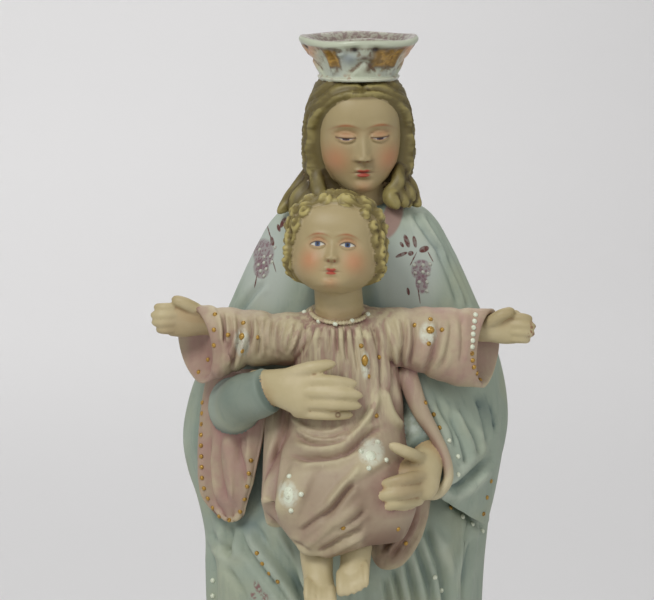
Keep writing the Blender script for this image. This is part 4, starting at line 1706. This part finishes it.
class OBJECT_OT_bisque_casting(bpy.types.Operator):
    """Make the painted casting: both figures, the crown and the base as one skin"""

    bl_idname = "object.bisque_casting"
    bl_label = "Painted Casting"

    def execute(self, context):
        sizes, colours = context.scene.bisque_sizes, context.scene.bisque_colours
        forms = [
            mantle_form(sizes.mantle_folds),
            base_form(),
            *mother_feet(),
            *sleeve_and_mantle_forms(),
            gown_form(sizes.gown_folds),
            collar_form(),
            *child_sleeves(),
            *mother_head_forms(sizes.hair_bands),
            *child_head_forms(sizes.curl / MM),
            crown_form(sizes.crown_motifs),
        ]
        meshes = [mesh_from(form, "form") for form in forms]
        meshes += melted_limbs(sizes.finger / MM, sizes.small_finger / MM, sizes.melt / MM)
        flesh, blush = tuple(colours.flesh), tuple(colours.blush)
        hair = tuple(colours.hair), tuple(colours.hair_light), tuple(colours.hair_dark)
        deeper = [tuple(0.72 * value for value in colour) for colour in hair]
        dark_iris, blue_iris = srgb(28, 36, 72), srgb(70, 92, 128)
        mother = head_paint(
            "mother_flesh_and_hair", MOTHER_HEAD, MOTHER_FACE, flesh, deeper, blush, dark_iris, (0, -0.012)
        )
        child = head_paint(
            "child_flesh_and_hair", CHILD_HEAD, CHILD_FACE, flesh, hair, blush, blue_iris, (0, 0.004)
        )
        base = cloth_paint(
            "base_cream", srgb(186, 180, 156), srgb(202, 196, 174), srgb(150, 140, 118), srgb(110, 96, 76)
        )
        materials = [
            mantle_paint(colours),
            gown_paint(colours),
            mother.finish(0.12),
            child.finish(0.12),
            crown_paint(tuple(colours.gold)),
            base.finish(0.12),
        ]
        mesh = united(meshes, "casting", materials)
        fill_seams(mesh, 5)
        mesh = thinned(mesh, CASTING_TRIANGLES)
        mesh.name = CASTING
        mesh.shade_smooth()
        mark_hollows(mesh)
        casting = linked(mesh, CASTING)
        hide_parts(CAD_NODE)
        finish_piece(casting)
        return {"FINISHED"}


def casting_skin(context):
    """The finished casting, for rays to meet."""
    return BVHTree.FromObject(bpy.data.objects[CASTING], context.evaluated_depsgraph_get())


def enamel_piece(forms, name, material):
    """One piece of raised enamel from all its drops."""
    obj = linked(mesh_from(join_forms(forms), name), name)
    obj.data.materials.append(material)
    finish_piece(obj)


class OBJECT_OT_bisque_gold_drops(bpy.types.Operator):
    """Set the raised gold drops and jewels on the casting's hems and sleeves"""

    bl_idname = "object.bisque_gold_drops"
    bl_label = "Gold Drops"

    def execute(self, context):
        skin, radius = casting_skin(context), context.scene.bisque_sizes.drop / MM
        forms = drops_form(skin, rows_of_drops(GOLD_ROWS), radius, radius, 0.7 * radius)
        for x, z, wide, high in GOLD_JEWELS:
            forms += drops_form(skin, [(x, z)], wide, high, 1.2)
        gold = tuple(context.scene.bisque_colours.gold)
        paint = drop_paint("gold_paint", gold, srgb(96, 60, 26), 0.32, 0.35)
        enamel_piece(forms, "gold_drops", paint)
        return {"FINISHED"}


class OBJECT_OT_bisque_white_drops(bpy.types.Operator):
    """Set the raised white drops and the white blossoms on the clothes"""

    bl_idname = "object.bisque_white_drops"
    bl_label = "White Drops"

    def execute(self, context):
        skin, radius = casting_skin(context), context.scene.bisque_sizes.drop / MM * 1.1
        forms = drops_form(skin, rows_of_drops(WHITE_ROWS), radius, radius, 0.8 * radius)
        for x, z, size in BLOSSOMS:
            forms += drops_form(skin, [(x, z)], size, 1.2 * size, 1.0, soft=True)
        white = tuple(context.scene.bisque_colours.white)
        paint = drop_paint("white_enamel", white, srgb(176, 174, 150), 0.3, 0)
        enamel_piece(forms, "white_drops", paint)
        return {"FINISHED"}


class OBJECT_OT_bisque_grape_drops(bpy.types.Operator):
    """Set the small raised grapes over the painted clusters at the shoulders"""

    bl_idname = "object.bisque_grape_drops"
    bl_label = "Grape Drops"

    def execute(self, context):
        skin, radius = casting_skin(context), context.scene.bisque_sizes.drop / MM * 0.85
        forms = drops_form(skin, GRAPE_DROPS, radius, radius, 0.7 * radius)
        paint = drop_paint("grape_enamel", srgb(186, 190, 176), srgb(150, 124, 128), 0.3, 0)
        enamel_piece(forms, "grape_drops", paint)
        return {"FINISHED"}


class SCENE_OT_bisque_stage(bpy.types.Operator):
    """Lay the pale floor and backdrop, set the soft lights and the camera"""

    bl_idname = "scene.bisque_stage"
    bl_label = "Stage"

    def execute(self, context):
        scene, light, colours = context.scene, context.scene.bisque_light, context.scene.bisque_colours
        ground = Paint("stage_grey", tuple(colours.floor), 0.9)
        x, y, z = ground.axes()
        ground.layer(srgb(217, 216, 216), (x - z * 1.2).step(-1.2, 0.9))
        ground.layer(srgb(196, 195, 195), (1 - y.step(0.6, 2.1)) * 0.3)
        backing = ground.finish(0.02, 0.002)
        profile = [[-7, 0], [-3, 0], [0, 0], [2.2, 0], [2.8, 0.08], [3.1, 0.4], [3.2, 1.2], [3.2, 2.6]]
        t = np.linspace(0, 1, 48)[:, None]
        y, z = np.moveaxis(between(profile, t), -1, 0)
        x = np.array([[-7, 7]])
        points = np.stack([x + 0 * y, y + 0 * x, z + 0 * x], -1)
        grid = np.arange(points[..., 0].size).reshape(points.shape[:2])
        quads = np.stack([grid[:-1, 0], grid[:-1, 1], grid[1:, 1], grid[1:, 0]], -1)
        mesh = bpy.data.meshes.new("stage_sweep")
        mesh.from_pydata(points.reshape(-1, 3), [], quads)
        mesh.shade_smooth()
        mesh.materials.append(backing)
        linked(mesh, "stage_sweep")

        def area_light(name, place, size, power, towards=SEEN_MIDDLE * MM):
            lamp = bpy.data.lights.new(name, "AREA")
            lamp.shape = "DISK"
            lamp.size = size
            lamp.energy = power
            obj = linked(lamp, name)
            obj.location = place
            obj.rotation_euler = (Vector(towards) - obj.location).to_track_quat("-Z", "Y").to_euler()

        area_light("key", (-0.55, -1.1, 1.3), 0.6, light.key)
        area_light("fill", (0.9, -1.2, 0.7), 1.0, light.fill)
        area_light("top", (0.1, 0.5, 1.5), 0.8, light.fill)
        area_light("backdrop", (0, 2.0, 2.4), 1.6, light.backdrop, (0, 3.1, 0.2))
        world = bpy.data.worlds.new("studio")
        world.use_nodes = True
        background = world.node_tree.nodes["Background"]
        background.inputs["Color"].default_value = (1, 1, 1, 1)
        background.inputs["Strength"].default_value = light.surround
        scene.world = world
        scene.view_settings.view_transform = "Standard"

        lens = bpy.data.cameras.new("camera")
        lens.sensor_width = SENSOR
        lens.lens = SENSOR * SEEN_DISTANCE / SEEN_WIDTH
        lens.clip_end = 20
        camera = linked(lens, "camera")
        camera.location = EYE * MM
        camera.rotation_euler = Vector(-TOWARDS_EYE).to_track_quat("-Z", "Y").to_euler()
        scene.camera = camera
        return {"FINISHED"}


class VIEW3D_PT_bisque_figure(bpy.types.Panel):
    """Sizes, colours and makers of the bisque figure"""

    bl_label = "Bisque Figure"
    bl_space_type = "VIEW_3D"
    bl_region_type = "UI"
    bl_category = "Bisque Figure"

    def draw(self, context):
        layout = self.layout
        for name in ("bisque_sizes", "bisque_colours", "bisque_light"):
            settings = getattr(context.scene, name)
            for key in settings.__annotations__:
                layout.prop(settings, key)
        for operator in OPERATORS:
            layout.operator(operator.bl_idname)


OPERATORS = [
    OBJECT_OT_bisque_casting,
    OBJECT_OT_bisque_gold_drops,
    OBJECT_OT_bisque_white_drops,
    OBJECT_OT_bisque_grape_drops,
    SCENE_OT_bisque_stage,
]
CLASSES = [
    BisqueFigureSizes,
    BisqueFigureColours,
    BisqueFigureLight,
    *OPERATORS,
    VIEW3D_PT_bisque_figure,
]


def register():
    """Adds the classes and gives every scene its settings."""
    for cls in CLASSES:
        bpy.utils.register_class(cls)
    bpy.types.Scene.bisque_sizes = PointerProperty(type=BisqueFigureSizes)
    bpy.types.Scene.bisque_colours = PointerProperty(type=BisqueFigureColours)
    bpy.types.Scene.bisque_light = PointerProperty(type=BisqueFigureLight)


def unregister():
    """Takes the settings and the classes away again."""
    del bpy.types.Scene.bisque_light
    del bpy.types.Scene.bisque_colours
    del bpy.types.Scene.bisque_sizes
    for cls in reversed(CLASSES):
        bpy.utils.unregister_class(cls)


def main():
    """Makes every piece and the stage."""
    register()
    bpy.ops.object.bisque_casting()
    bpy.ops.object.bisque_gold_drops()
    bpy.ops.object.bisque_white_drops()
    bpy.ops.object.bisque_grape_drops()
    bpy.ops.scene.bisque_stage()


if __name__ == "__main__":
    main()
